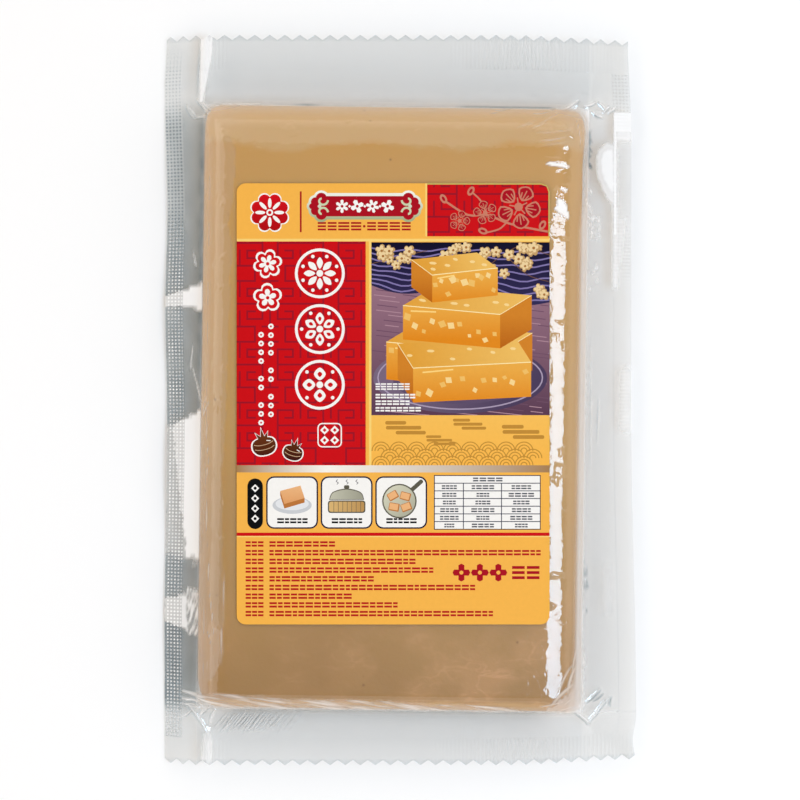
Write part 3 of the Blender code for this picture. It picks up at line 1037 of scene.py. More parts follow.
    def teeth(self, x: Array) -> Array:
        """How far the cut edge stands out, from 0 in a valley to 1 at a tip, even along the film.

        Args:
            x: Places across.

        Returns:
            The share at each place.
        """
        fine = np.linspace(-self.width / 2, self.width / 2, 1601)
        height = self.margin_height(fine, np.full_like(fine, self.length / 2))
        film = np.concatenate([[0.0], np.cumsum(np.hypot(np.diff(fine), np.diff(height)))])
        count = round(film[-1] / self.tooth_pitch)
        phase = np.interp(x, fine, film / film[-1] * count) % 1.0
        return 1.0 - np.abs(2.0 * phase - 1.0)


def closed_sheet(x: Array, y: Array, upper: Array, lower: Array) -> tuple[Array, Array]:
    """Two skins over one grid, joined round its rim, with all faces pointing out.

    Args:
        x: x of each grid point.
        y: y of each grid point.
        upper: Height of the upper skin there.
        lower: Height of the lower skin there.

    Returns:
        Vertices in millimetres, and four-sided faces.
    """
    top = np.stack([x, y, upper], axis=-1).reshape(-1, 3)
    bottom = np.stack([x, y, lower], axis=-1).reshape(-1, 3)
    index = np.arange(x.size).reshape(x.shape)
    quads = np.stack([index[:-1, :-1], index[:-1, 1:], index[1:, 1:], index[1:, :-1]], axis=-1)
    upper_faces = quads.reshape(-1, 4)
    lower_faces = upper_faces[:, ::-1] + x.size
    rim = np.concatenate([index[0, :-1], index[:-1, -1], index[-1, :0:-1], index[:0:-1, 0]])
    after = np.roll(rim, -1)
    rim_faces = np.stack([rim, rim + x.size, after + x.size, after], axis=-1)
    return np.concatenate([top, bottom]), np.concatenate([upper_faces, lower_faces, rim_faces])


def new_piece(name: str, vertices: Array, faces: Array, material: bpy.types.Material) -> bpy.types.Object:
    """Makes a smooth piece of the object from its vertices and faces, and makes it ride.

    Args:
        name: The piece's name.
        vertices: Vertices in millimetres.
        faces: Rows of vertex numbers.
        material: The piece's finish.

    Returns:
        The object.
    """
    mesh = bpy.data.meshes.new(name)
    mesh.from_pydata(vertices * MM, [], faces.tolist())
    mesh.shade_smooth()
    mesh.set_sharp_from_angle(angle=SHARP)
    mesh.materials.append(material)
    piece = bpy.data.objects.new(name, mesh)
    bpy.context.scene.collection.objects.link(piece)
    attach(piece, BODY)
    log.info("%s: %d vertices, %d faces", name, len(vertices), len(faces))
    return piece


def store(piece: bpy.types.Object, name: str, share: Array) -> None:
    """Gives a closed sheet an attribute, with the same value on both skins.

    Args:
        piece: The sheet.
        name: The attribute's name.
        share: The value at each grid point.
    """
    layer = piece.data.attributes.new(name, "FLOAT", "POINT")
    layer.data.foreach_set("value", np.tile(share.ravel(), 2).astype(np.float32))


@dataclass
class Cake:
    """The block of cake, which fills the pouch apart from a gap along its right side."""

    form: PouchForm
    finish: CakeFinish = CakeFinish()
    clearance: float = 0.25
    insets: tuple[float, float, float, float] = (0.15, 1.5, 0.35, 0.1)
    corner_fill: float = 1.0
    corner_cut: float = 4.0
    step: float = 0.9

    def build(self) -> bpy.types.Object:
        """Makes the block: the skins' own shapes, brought in on every side.

        Returns:
            The piece.
        """
        shape = self.form
        left, right, bottom, top = shape.cake_sides(0.0, 0.0)
        in_left, in_right, in_bottom, in_top = self.insets
        columns = self.lines(left + in_left, right - in_right, shape.shoulders[:2])
        rows = self.lines(bottom + in_bottom, top - in_top, shape.shoulders[2:])
        x, y = shape.place(columns, rows)
        x, y, upper, lower = self.skins(x, y)
        vertices, faces = closed_sheet(x, y, upper, lower)
        piece = new_piece("cake", vertices, faces, self.finish.material())
        store(piece, "pale", self.painted_sheen(x, y))
        return piece

    def painted_sheen(self, x: Array, y: Array) -> Array:
        """Painted sheen: how much paler the cake is made over its shoulders, in zones with ragged inner
        edges.

        Args:
            x: Places across.
            y: Places along.

        Returns:
            The "pale" share.
        """
        _, right, bottom, top = self.form.cake_sides(x, y)
        ragged = 1.3 * swell(x, y, 9.0, 41) + 0.6 * swell(x, y, 3.2, 42)
        zones = (
            0.15 * smooth_step((x - right + 7.9 + ragged) / 2.4 + 0.5),
            0.6 * smooth_step((bottom + 3.4 - y + 0.5 * ragged) / 1.2 + 0.5),
            smooth_step((y - top + 14.0 + 3.0 * swell(x, y, 27.0, 43) + ragged) / 3.2 + 0.5),
        )
        return np.maximum.reduce(zones)

    def lines(self, low: float, high: float, shoulders: tuple[float, float]) -> Array:
        """Grid lines from one side to the other, closer over the shoulders and closest at the sides.

        Args:
            low: One side.
            high: The other side.
            shoulders: Widths of the two shoulders.

        Returns:
            The lines' places.
        """
        flat_low, flat_high, coarse = low + shoulders[0], high - shoulders[1], self.step * 1.6
        return graded_lines(
            (
                (low, 0.1), (low + 1.0, 0.35), (flat_low, 0.8), (flat_low + 8.0, coarse),
                (flat_high - 8.0, coarse), (flat_high, 0.8), (high - 1.0, 0.35), (high, 0.1),
            )
        )

    def skins(self, x: Array, y: Array) -> tuple[Array, Array, Array, Array]:
        """Heights of the block's upper and lower faces, and its places with the corners drawn in.

        A place is first carried outwards by the inset's share of the way to the nearest side, so that
        the film's shape there, less the clearance, is the block's shape here.

        Args:
            x: Places across, on the square block.
            y: Places along.

        Returns:
            The places on the rounded block, and the heights of its upper and lower faces.
        """
        shape = self.form
        left, right, bottom, top = shape.cake_sides(x, y)
        in_left, in_right, in_bottom, in_top = self.insets
        share_x = (x - left - in_left) / (right - left - in_left - in_right)
        share_y = (y - bottom - in_bottom) / (top - bottom - in_bottom - in_top)
        wide_x, wide_y = shape.rounded(left + share_x * (right - left), bottom + share_y * (top - bottom))
        left, right, bottom, top = shape.cake_sides(wide_x, wide_y)
        in_right = in_right - self.corner_fill * smooth_step((wide_y - top + 20.0) / 13.0)
        in_left = in_left + self.corner_cut * np.clip((bottom + 13.0 - wide_y) / 13.0, 0.0, 1.0) ** 2.6
        x = left + in_left + (wide_x - left) / (right - left) * (right - left - in_left - in_right)
        y = bottom + in_bottom + (wide_y - bottom) / (top - bottom) * (top - bottom - in_bottom - in_top)
        over, _ = shape.reach(wide_x, wide_y, shape.shoulders, shape.corner_power)
        under, _ = shape.reach(wide_x, wide_y, (shape.base_round,) * 4, shape.base_corner_power)
        waist = shape.seam_height
        bulge = shape.shoulder(over)
        upper = waist + (shape.thickness - self.clearance - waist) * bulge + shape.face_relief(x, y) * bulge
        lower = waist - (waist - self.clearance) * np.sqrt(1.0 - np.clip(under, 0.0, 1.0) ** 2)
        return x, y, np.maximum(upper, lower + 0.02), lower


@dataclass
class Film:
    """The two skins of clear film between the seals, drawn over the cake and slack in the corners."""

    form: PouchForm
    material: bpy.types.Material
    haze_and_highlight: float = 0.015
    # Strength of the painted highlight streaks over the pleated hem
    pleats: float = 0.55

    def build(self) -> None:
        """Makes the film round the cake, which stands for the CAD pouch, and the wrinkled strip below it."""
        shape = self.form
        _, inner_left, left, right, inner_right, _ = shape.across_knots(0.0)
        _, inner_bottom, bottom, top, inner_top, _ = shape.along_knots(0.0)
        columns = graded_lines(
            (
                (inner_left, 0.32), (left - 1.5, 0.32), (left - 0.4, 0.2), (left + 0.6, 0.2),
                (left + 4.0, 0.5), (left + 11.0, 0.6), (left + 20.0, 2.0), (right - 22.0, 2.0),
                (right - 12.0, 0.6), (right - 4.0, 0.5), (right - 0.6, 0.2), (right + 0.4, 0.2),
                (right + 1.5, 0.32), (inner_right, 0.34),
            )
        )
        rows = graded_lines(
            (
                (bottom - 0.9, 0.25), (bottom - 0.4, 0.2), (bottom + 0.6, 0.2),
                (bottom + 6.0, 0.55), (bottom + 20.0, 1.0), (bottom + 40.0, 1.4), (top - 50.0, 1.4),
                (top - 43.0, 0.5), (top - 12.0, 0.5), (top - 4.0, 0.6), (top - 0.6, 0.2), (top + 0.4, 0.2),
                (top + 1.5, 0.32), (top + 7.0, 0.36), (inner_top, 0.5),
            )
        )
        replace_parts(self.sheet("film", columns, rows), "sealed_pouch")
        columns = np.linspace(inner_left, inner_right, round((inner_right - inner_left) / 0.34) + 1)
        self.sheet("bottom_film", columns, graded_lines(((inner_bottom, 0.3), (bottom - 0.9, 0.25))))

    def sheet(self, name: str, columns: Array, rows: Array) -> bpy.types.Object:
        """Makes one closed sheet, whose skins part round the cake.

        Args:
            name: The piece's name.
            columns: Each column's x at y = 0.
            rows: Each row's y at x = 0.

        Returns:
            The piece.
        """
        shape = self.form
        x, y = shape.place(columns, rows)
        vertices, faces = closed_sheet(x, y, shape.upper(x, y), shape.lower(x, y))
        piece = new_piece(name, vertices, faces, self.material)
        # Painted highlights and painted shade of the film, and the pleats' painted highlight streaks
        white, dark = shape.painted_light(x, y)
        store(piece, "haze_and_highlight", self.haze_and_highlight + white)
        store(piece, "shade_and_steel", dark)
        store(piece, "crinkle", shape.crinkle(x, y))
        store(piece, "pleats", self.pleats * shape.hem_share(x, y))
        return piece


class Side(Enum):
    """A long side of the pouch, as the sign of its x."""

    LEFT = -1
    RIGHT = 1


class End(Enum):
    """A short end of the pouch, as the sign of its y."""

    BOTTOM = -1
    TOP = 1


def knurl(x: Array, y: Array) -> Array:
    """Round bumps on a square grid, 0 to 1: one raised cosine across times one along."""
    return raised_cosine(x, KNURL_PITCH) * raised_cosine(y, KNURL_PITCH)


def crowns(bumps: Array) -> Array:
    """The upper part of each bump of the knurl, from 0 on its flank to 1 at its top."""
    return smooth_step((bumps - 0.2) / 0.55)


@dataclass
class Seal:
    """A welded band of the margin, with a pattern pressed into it."""

    form: PouchForm
    material: bpy.types.Material

    def emboss(self, name: str, x: Array, y: Array, pattern: Array) -> bpy.types.Object:
        """Makes the band: the margin's own shape with the pattern pressed into both skins.

        Args:
            name: The piece's name.
            x: Places across.
            y: Places along.
            pattern: How far the film is raised at each place.

        Returns:
            The piece.
        """
        shape = self.form
        middle = shape.margin_height(x, y) + shape.slack(x, y) + pattern
        half = shape.film_thickness / 2
        vertices, faces = closed_sheet(x, y, middle + half, np.maximum(middle - half, 0.1))
        piece = new_piece(name, vertices, faces, self.material)
        return piece


@dataclass
class SideSeal(Seal):
    """The seal down one long side: knurled on the left, and faintly ribbed on the right."""

    side: Side
    height: float = 0.16
    step: float = 0.2
    ribbing: float = 0.3

    def build(self) -> bpy.types.Object:
        """Makes the band. On the left, the crowns get painted highlights low down, and dots painted shade
        higher up.

        Returns:
            The piece.
        """
        shape, on_left = self.form, self.side is Side.LEFT
        low, inner_left, _, _, inner_right, high = shape.across_knots(0.0)
        _, inner_bottom, _, _, inner_top, _ = shape.along_knots(0.0)
        start, end = (low, inner_left) if on_left else (inner_right, high)
        columns = np.linspace(start, end, round((end - start) / self.step) + 1)
        rows = np.linspace(inner_bottom, inner_top, round((inner_top - inner_bottom) / self.step) + 1)
        x, y = shape.place(columns, rows)
        inwards = np.abs(x - (shape.left_edge(y) if on_left else shape.right_edge(y)))
        shown = between(inwards, 0.0, KNURL_RIM, shape.side_band, KNURL_RIM)
        dotted = smooth_step((y - 96.5) / 2.0)
        ribs = self.ribbing * raised_cosine(y, KNURL_PITCH) * (1.0 - dotted)
        ribs = ribs + self.ribbing * knurl(inwards, y) * dotted
        bumps = (knurl(inwards, y) if on_left else ribs) * shown
        piece = self.emboss(f"{self.side.name.lower()}_seal", x, y, self.height * bumps)
        white, dark = shape.painted_light(x, y)
        if on_left:
            # Painted light on the knurl: highlights on the crowns, shade in the hollows and in the pits
            crown = crowns(bumps)
            pits = crowns(knurl(inwards + KNURL_PITCH / 2, y + KNURL_PITCH / 2)) * shown
            high_up = smooth_step((y - 42.0) / 28.0)
            near_ends = smooth_step((np.abs(y + 4.0) - 96.0) / 8.0)
            dim = np.clip(dark / 0.3 + 0.25 * near_ends, 0.0, 1.0) * (0.85 + 0.4 * swell(x, y, 7.0, 66))
            haze_and_highlight = 0.02 + white * (0.7 + 0.3 * crown) + crown * (0.82 * dim + 0.05 * shown) * (1.0 - high_up)
            hollows = (0.04 + 0.09 * near_ends + 0.17 * white) * (1.0 - crown) * shown
            shade_and_steel = dark * (1.6 - crown) + hollows
            shade_and_steel = shade_and_steel * (1.0 - high_up) + (dark * (0.6 + 1.5 * pits) + 0.16 * pits) * high_up
        else:
            # Painted glints on the right seal's ribs, with painted shade between them
            marked = 0.3 * smooth_step((y - 40.0) / 10.0) + 0.7 * bell(y, 48.0, 8.0) + 1.6 * dotted
            haze_and_highlight = 0.02 + white + 0.2 * bumps * marked * (1.0 - white)
            shade_and_steel = dark + 0.1 * marked * (0.3 - bumps) * shown
        store(piece, "haze_and_highlight", haze_and_highlight)
        store(piece, "shade_and_steel", shade_and_steel)
        return piece


@dataclass
class EndSeal(Seal):
    """The ribbed seal across one short end, cut into teeth."""

    end: End
    pitch: float = 1.335
    height: float = 0.05
    step: float = 0.19
    border: float = 0.7
    tip_shade: float = 0.16

    def build(self) -> bpy.types.Object:
        """Makes the band: ribs out to the teeth, and at the top left the side seal's dots, in painted shade.

        Returns:
            The piece.
        """
        shape = self.form
        low, _, _, _, _, high = shape.across_knots(0.0)
        end_bottom, inner_bottom, _, _, inner_top, end_top = shape.along_knots(0.0)
        start, end = (end_bottom, inner_bottom) if self.end is End.BOTTOM else (inner_top, end_top)
        columns = np.linspace(low, high, round((high - low) / self.step) + 1)
        x, y = shape.place(columns, np.linspace(start, end, 16))
        cut = 0 if self.end is End.BOTTOM else -1
        y[cut] += self.end.value * shape.tooth_depth * shape.teeth(x[cut])
        inner = shape.end_edge(x, self.end.value) - self.end.value * (end - start)
        shown = smooth_step(np.abs(y - inner) / self.border)
        ribs = raised_cosine(x, self.pitch) * shown
        strength = 0.12 + 0.88 * bell(x, 42.0, 18.0) + 0.4 * bell(x, -62.0, 3.5)
        piece = self.emboss(f"{self.end.name.lower()}_seal", x, y, self.height * ribs * strength)
        white, dark = shape.painted_light(x, y)
        # Painted shade along the teeth's tips, and dots of painted shade at the top left
        dark[cut] += self.tip_shade
        aside = x - shape.left_edge(y)
        dots = crowns(knurl(aside + KNURL_PITCH / 2, y + KNURL_PITCH / 2))
        faint = between(aside, 0.0, KNURL_RIM, shape.side_band, KNURL_RIM) * smooth_step((123.0 - y) / 11.0)
        dark = dark + 0.16 * dots * faint * (y > 0.0)
        # Painted highlights on the ribs, and painted shade between them
        store(piece, "haze_and_highlight", 0.015 + white + 0.07 * strength * ribs)
        store(piece, "shade_and_steel", dark + 0.04 * strength * (1.0 - ribs) * shown)
        return piece


@dataclass(frozen=True)
class Ink:
    """A printed colour, even or blended in a straight line from one point to another."""

    start: Colour
    end: Colour | None = None
    origin: Point = (0.0, 0.0)
    towards: Point = (0.0, 1.0)

    def shade(self, places: Array) -> Array:
        """Linear colour at each place: the share of the way from origin to towards, squarely measured.

        Args:
            places: Rows of x and y on the label.

        Returns:
            Rows of red, green, blue and alpha.
        """
        first = np.array(linear(self.start))
        if self.end is None:
            return np.broadcast_to(first, (len(places), 4))
        way = np.subtract(self.towards, self.origin)
        share = np.clip((places - self.origin) @ way / (way @ way), 0.0, 1.0)[:, None]
        return first + (np.array(linear(self.end)) - first) * share


# The label's inks, as they look in the studio
YELLOW = Ink((249, 183, 80))
PALE_YELLOW = Ink((252, 214, 120))
RED = Ink((206, 18, 30))
DEEP_RED = Ink((172, 26, 38))
FRET = Ink((156, 30, 44))
WHITE = Ink((250, 247, 242))
NAVY = Ink((26, 32, 62))
BLACK = Ink((18, 14, 16))
SILVER = Ink((206, 214, 176))
OCHRE = Ink((194, 140, 58))
GREY = Ink((84, 84, 92))


def oval(
    centre: Point, across: float, along: float | None = None, turn: float = 0.0, count: int = 20
) -> Array:
    """An ellipse's outline.

    Args:
        centre: Its middle.
        across: Half its width.
        along: Half its height, or None for a circle.
        turn: How far it is turned, in degrees.
        count: Number of points.

    Returns:
        Rows of x and y.
    """
    angle = np.linspace(0.0, 2.0 * math.pi, count, endpoint=False)
    points = np.stack([across * np.cos(angle), (along or across) * np.sin(angle)], axis=-1)
    return turned(points, turn, centre)


def turned(points: Array, degrees: float, centre: Point = (0.0, 0.0)) -> Array:
    """Points turned about the origin and then moved to centre."""
    cos, sin = math.cos(math.radians(degrees)), math.sin(math.radians(degrees))
    return np.asarray(points) @ np.array([[cos, sin], [-sin, cos]]) + centre


def box(left: float, top: float, right: float, bottom: float, radius: float = 0.0, steps: int = 5) -> Array:
    """A rectangle's outline, with round corners where radius isn't 0.

    Args:
        left: x of its left side.
        top: y of its top.
        right: x of its right side.
        bottom: y of its bottom.
        radius: The corners' radius.
        steps: Stretches in a corner's arc.

    Returns:
        Rows of x and y.
    """
    if not radius:
        return np.array([(left, top), (right, top), (right, bottom), (left, bottom)])
    angle = np.radians(np.linspace(0.0, 90.0, steps + 1))
    arc = radius * np.stack([np.cos(angle), np.sin(angle)], axis=-1)
    near, far = (left + radius, top + radius), (right - radius, bottom - radius)
    middles = (far, (near[0], far[1]), near, (far[0], near[1]))
    return np.concatenate([turned(arc, 90.0 * index, middle) for index, middle in enumerate(middles)])


def flower(centre: Point, low: float, high: float, lobes: int, turn: float = 0.0, count: int = 6) -> Array:
    """A flower-like outline whose radius swings between low and high, once for each lobe.

    Args:
        centre: Its middle.
        low: The least radius.
        high: The greatest one.
        lobes: Number of petals.
        turn: How far it is turned, in degrees.
        count: Points to each lobe.

    Returns:
        Rows of x and y.
    """
    angle = np.linspace(0.0, 2.0 * math.pi, lobes * count, endpoint=False)
    radius = low + (high - low) * np.abs(np.sin(angle * lobes / 2.0)) ** 0.7
    return turned(np.stack([radius * np.cos(angle), radius * np.sin(angle)], axis=-1), turn, centre)


def flowing(points: list[Point] | Array, steps: int = 5, closed: bool = False) -> Array:
    """A smooth line through the points (Catmull-Rom): each stretch leans on its neighbours' directions.

    Args:
        points: What it passes through.
        steps: Points to each stretch.
        closed: Whether the last point joins the first.

    Returns:
        Rows of x and y.
    """
    known = np.asarray(points, dtype=float)
    count = len(known) if closed else len(known) - 1
    index = np.arange(count)[:, None] + np.arange(-1, 3)
    index = index % len(known) if closed else np.clip(index, 0, len(known) - 1)
    before, start, end, after = known[index].transpose(1, 0, 2)[:, :, None, :]
    t = np.linspace(0.0, 1.0, steps, endpoint=False)[None, :, None]
    line = 0.5 * (
        2 * start
        + (end - before) * t
        + (2 * before - 5 * start + 4 * end - after) * t**2
        + (3 * start - before - 3 * end + after) * t**3
    )
    line = line.reshape(-1, 2)
    return line if closed else np.concatenate([line, known[-1:]])


class Print:
    """What is printed on the label, in millimetres from its top left corner, later shapes on top."""

    def __init__(self, ground: Array, ink: Ink) -> None:
        """Starts with the ground.

        Args:
            ground: The label's outline.
            ink: The ground's colour.
        """
        self.outlines: list[Array] = [ground]
        self.inks: list[Ink] = [ink]

    def fill(self, outline: Array, ink: Ink) -> None:
        """Prints one filled outline, taken the way round in which its signed area is over 0.

        Args:
            outline: Rows of x and y.
            ink: Its colour.
        """
        points = np.asarray(outline, dtype=float)
        after = np.roll(points, -1, axis=0)
        area = (points[:, 0] * after[:, 1] - after[:, 0] * points[:, 1]).sum()
        self.outlines.append(points if area > 0 else points[::-1])
        self.inks.append(ink)

    def line(self, points: Array | list[Point], width: float, ink: Ink, closed: bool = False) -> None:
        """Prints a line, as one four-sided shape for each stretch, mitred where they meet.

        Args:
            points: The line's middle.
            width: Its width.
            ink: Its colour.
            closed: Whether its last point joins its first.
        """
        middle = np.asarray(points, dtype=float)
        ahead = np.roll(middle, -1, axis=0) - middle
        if not closed:
            ahead[-1] = ahead[-2]
        ahead /= np.linalg.norm(ahead, axis=1, keepdims=True)
        behind = np.roll(ahead, 1, axis=0)
        if not closed:
            behind[0] = ahead[0]
        aside = np.stack([-(ahead + behind)[:, 1], (ahead + behind)[:, 0]], axis=-1)
        aside *= width / np.maximum((aside**2).sum(axis=1, keepdims=True), 0.6)
        left, right = middle + aside, middle - aside
        for start in range(len(middle) if closed else len(middle) - 1):
            end = (start + 1) % len(middle)
            self.fill(np.array([left[start], left[end], right[end], right[start]]), ink)

    def panes(self) -> tuple[Array, Array, Array]:
        """Cuts the ground along every outline.

        Returns:
            Points, triangles that turn as the ground's outline does, and the number of the topmost
            shape in each triangle.
        """
        ends = np.cumsum([0] + [len(outline) for outline in self.outlines])
        faces = [list(range(start, end)) for start, end in zip(ends, ends[1:])]
        points = [Vector(point) for point in np.concatenate(self.outlines)]
        places, _, cut, _, _, owners = delaunay_2d_cdt(points, [], faces, 1, 1e-5)
        top = np.array([max(owner) if 0 in owner else -1 for owner in owners])
        triangles = np.array([tuple(face) for face in cut])[top >= 0]
        return np.array([tuple(place) for place in places]), triangles, top[top >= 0]


class Artwork(Print):
    """The label's print: panels, ornaments, small pictures and rows of marks, drawn one after another."""

    def draw(self) -> None:
        """Prints everything on the ground."""
        self.heading()
        self.fretwork((0.0, 19.5, 43.3, 94.6), (0.4, 0.2))
        self.medallions()
        self.chestnuts()
        self.picture()
        self.clouds()
        self.directions()
        self.table()
        self.small_print()

    def heading(self) -> None:
        """The top strip: a rosette, a bar, a cartouche with scrolled ends, and blossom on fretwork."""
        self.fill(box(0, 18.6, 105, 19.5), PALE_YELLOW)
        middle = (11.1, 9.8)
        self.fill(flower(middle, 5.6, 6.9, 8), WHITE)
        self.fill(flower(middle, 5.2, 6.4, 8), Ink((214, 24, 34), (176, 14, 28), (11, 4), (11, 16)))
        for turn in range(0, 360, 45):
            self.fill(oval(tuple(turned([(3.2, 0)], turn, middle)[0]), 1.7, 0.62, turn, 12), WHITE)
        self.fill(oval(middle, 1.15), WHITE)
        self.fill(oval(middle, 0.6, count=12), RED)
        self.fill(box(21.2, 2.7, 21.8, 16.4), DEEP_RED)
        self.cartouche()
        row = np.random.default_rng(3).uniform(0.8, 1.2, 8)
        self.marks(27.2, 14.4, 41.8, 2.8, row[:4], DEEP_RED)
        self.marks(43.8, 14.4, 58.4, 2.8, row[4:], DEEP_RED)
        self.fill(oval((42.8, 14.4), 0.45, count=8), DEEP_RED)
        self.fretwork((63.9, 0, 105, 17.8), (0.9, 1.4))
        self.fill(box(63.3, 0, 63.9, 17.8), PALE_YELLOW)
        self.blossom()

    def cartouche(self) -> None:
        """A deep red plaque with a silver border, whose ends are cloud scrolls."""
        middle_x, middle_y = 43, 7.7
        rim = Ink((244, 246, 236), (168, 178, 134), (43, 3), (43, 12.4))
        lobes = ((14.6, 2.7, 1.85), (16.6, 1.5, 1.5), (17.7, 0, 1))
        for grown, ink in ((0.8, rim), (0, DEEP_RED)):
            for sign in (-1, 1):
                for out, up, radius in lobes:
                    for way in (-1, 1):
                        centre = (middle_x + sign * out, middle_y + way * up)
                        self.fill(oval(centre, radius + grown, count=16), ink)
                tip = middle_x + sign * (18.2 + grown * 1.5)
                foot = tip - sign * 2.4
                self.fill(np.array([(tip, middle_y), (foot, middle_y - 1.6), (foot, middle_y + 1.6)]), ink)
            half, edge = 14.6 + grown * 0.4, 3.4 + grown * 1.3
            self.fill(box(middle_x - half, middle_y - edge, middle_x + half, middle_y + edge, 0.4, 2), ink)
        angle = np.linspace(0, 4.4, 18)
        for sign in (-1, 1):
            for up in (-1, 1):
                radius = 1.95 - 0.31 * angle
                curl = np.stack([-sign * radius * np.cos(angle), -up * radius * np.sin(angle)], axis=-1)
                self.line(curl + (middle_x + sign * 14.3, middle_y + up * 2), 0.7, SILVER)
        for index in range(4):
            centre = (middle_x - 7.65 + 5.1 * index, middle_y)
            self.fill(flower(centre, 0.9, 2.3, 4 if index % 2 else 6, 22.5 * index, 4), WHITE)
            self.fill(oval(centre, 0.5, count=10), DEEP_RED)
        for index in range(3):
            self.fill(oval((middle_x - 5.1 + 5.1 * index, middle_y), 0.5, count=4), WHITE)

    def fretwork(self, frame: tuple[float, float, float, float], start: Point) -> None:
        """A red panel with a darker lattice of square hooks, each the mirror of its neighbours.

        Args:
            frame: The panel's left, top, right and bottom.
            start: How far in the first cell begins, in units.
        """
        left, top, right, bottom = frame
        self.fill(box(left, top, right, bottom), RED)
        unit, width = 2.55, 0.6
        hook = np.array([(0, 0), (3, 0), (3, 2), (1, 2), (1, 1), (2, 1)])
        stem = np.array([(0, 1), (0, 3), (2, 3), (2, 4)])
        link = np.array([(4, 1), (4, 3), (3, 3)])
        half = width / 2
        for row in range(-1, math.ceil((bottom - top) / unit / 4) + 1):
            for column in range(-1, math.ceil((right - left) / unit / 4) + 1):
                for part in (hook, stem, link):
                    shape = part.copy()
                    if column % 2:
                        shape[:, 0] = 4 - shape[:, 0]
                    if row % 2:
                        shape[:, 1] = 4 - shape[:, 1]
                    line = (shape + (column * 4 + start[0], row * 4 + start[1])) * unit + (left, top)
                    for (x0, y0), (x1, y1) in zip(line, line[1:]):
                        bar = np.clip(
                            [min(x0, x1) - half, min(y0, y1) - half, max(x0, x1) + half, max(y0, y1) + half],
                            [left, top, left, top],
                            [right, bottom, right, bottom],
                        )
                        if bar[2] - bar[0] > 0.05 and bar[3] - bar[1] > 0.05:
                            self.fill(box(*bar), FRET)

    def blossom(self) -> None:
        """A spray of open flowers and buds in tan line-work, at the top right corner."""
        tan = Ink((204, 128, 104))
        branch = flowing([(104.4, 16.2), (97, 14.8), (90.5, 13.2), (84, 10.6), (77.5, 10.6), (70, 6)], 4)
        self.line(branch, 0.7, tan)
        self.line(flowing([(90.5, 13.2), (88, 15.4), (83.5, 16.6)], 4), 0.55, tan)
        self.line(flowing([(84, 10.6), (82, 6), (79, 3)], 4), 0.55, tan)
        for centre, size, turn in (((94.6, 7.9), 7.2, 10), ((83.4, 9.8), 3.9, 40), ((74.8, 12.6), 3.4, 0)):
            for petal in range(5):
                angle = turn + 72 * petal
                drop = flowing([(0.3, 0), (0.75, -0.4), (1.05, 0), (0.75, 0.4)], 3, True) * size
                self.fill(turned(drop, angle, centre), tan)
                inner = (drop - (0.72 * size, 0)) * 0.78 + (0.72 * size, 0)
                self.fill(turned(inner, angle, centre), DEEP_RED)
                for lean in (-14, 0, 14):
                    vein = np.array([(0.38, 0), (0.84 if lean == 0 else 0.7, 0)]) * size
                    self.line(turned(vein, angle + lean, centre), 0.055 * size, tan)
                thread = np.array([(0, 0), (0.44, 0)]) * size
                self.line(turned(thread, angle + 36, centre), 0.06 * size, tan)
            self.fill(oval(centre, 0.2 * size, count=10), tan)
        for centre, turn in (((69.4, 5.2), 60), ((78.6, 2.6), 120), ((82.6, 16), 200), ((102.6, 14), 300)):
            self.fill(oval(centre, 1.7, 1.1, turn, 12), tan)
            self.fill(oval(centre, 0.9, 0.45, turn, 10), DEEP_RED)
        edging = [(63.9, 0.2), (102.2, 0.2), (104.1, 0.9), (104.8, 2.8), (104.8, 17.8)]
        self.line(edging, 0.4, Ink((206, 190, 104)))

    def medallions(self) -> None:
        """Three large white medallions, two small ones and two columns of beads, down the red panel."""
        for number, y in enumerate((30.2, 48.9, 67.6)):
            centre = (27.9, y)
            self.line(oval(centre, 7.9, count=36), 0.95, WHITE, True)
            lobes = (8, 6, 4)[number]
            for lobe in range(lobes):
                turn = 360 / lobes * (lobe + 0.5 * (number % 2))
                size = 6.2 - 0.1 * lobes
                fat = (1.05, 1.45, 2)[number]
                drop = flowing([(1.5, 0), (3.6, -fat), (size, 0), (3.6, fat)], 4, True)
                self.fill(turned(drop, turn, centre), WHITE)
                if number:
                    seed = flowing([(2.6, 0), (3.6, -0.4 * fat), (size - 1.4, 0), (3.6, 0.4 * fat)], 3, True)
                    self.fill(turned(seed, turn, centre), RED)
                tip = turned([(6.1, 0)], turn + 180 / lobes, centre)[0]
                self.fill(oval(tuple(tip), 0.62, count=8), WHITE)
            self.fill(oval(centre, 1.15, count=12), WHITE)
        for number, y in enumerate((27, 38.4)):
            centre = (10.4, y)
            self.fill(flower(centre, 3.6, 5, 6 - number, 15), WHITE)
            self.fill(flower(centre, 2.9, 4.2, 6 - number, 15), RED)
            self.fill(flower(centre, 1, 3, 6 - number, 15), WHITE)
            self.fill(oval(centre, 0.6, count=10), RED)
        for x, start, count in ((11.5, 48, 11), (8.2, 50.8, 11)):
            for index in range(count):
                if index in (4, 7):
                    continue
                self.fill(oval((x, start + 2.95 * index), 0.98, count=8), WHITE)
                self.fill(oval((x, start + 2.95 * index), 0.42, count=4), RED)
        self.line(box(27.3, 80.6, 35.1, 88.4, 1.4, 3), 0.42, WHITE, True)
        for x, y in ((29.5, 82.8), (32.9, 82.8), (29.5, 86.2), (32.9, 86.2)):
            self.fill(oval((x, y), 1.5, count=4), WHITE)
            self.fill(oval((x, y), 0.65, count=4), RED)

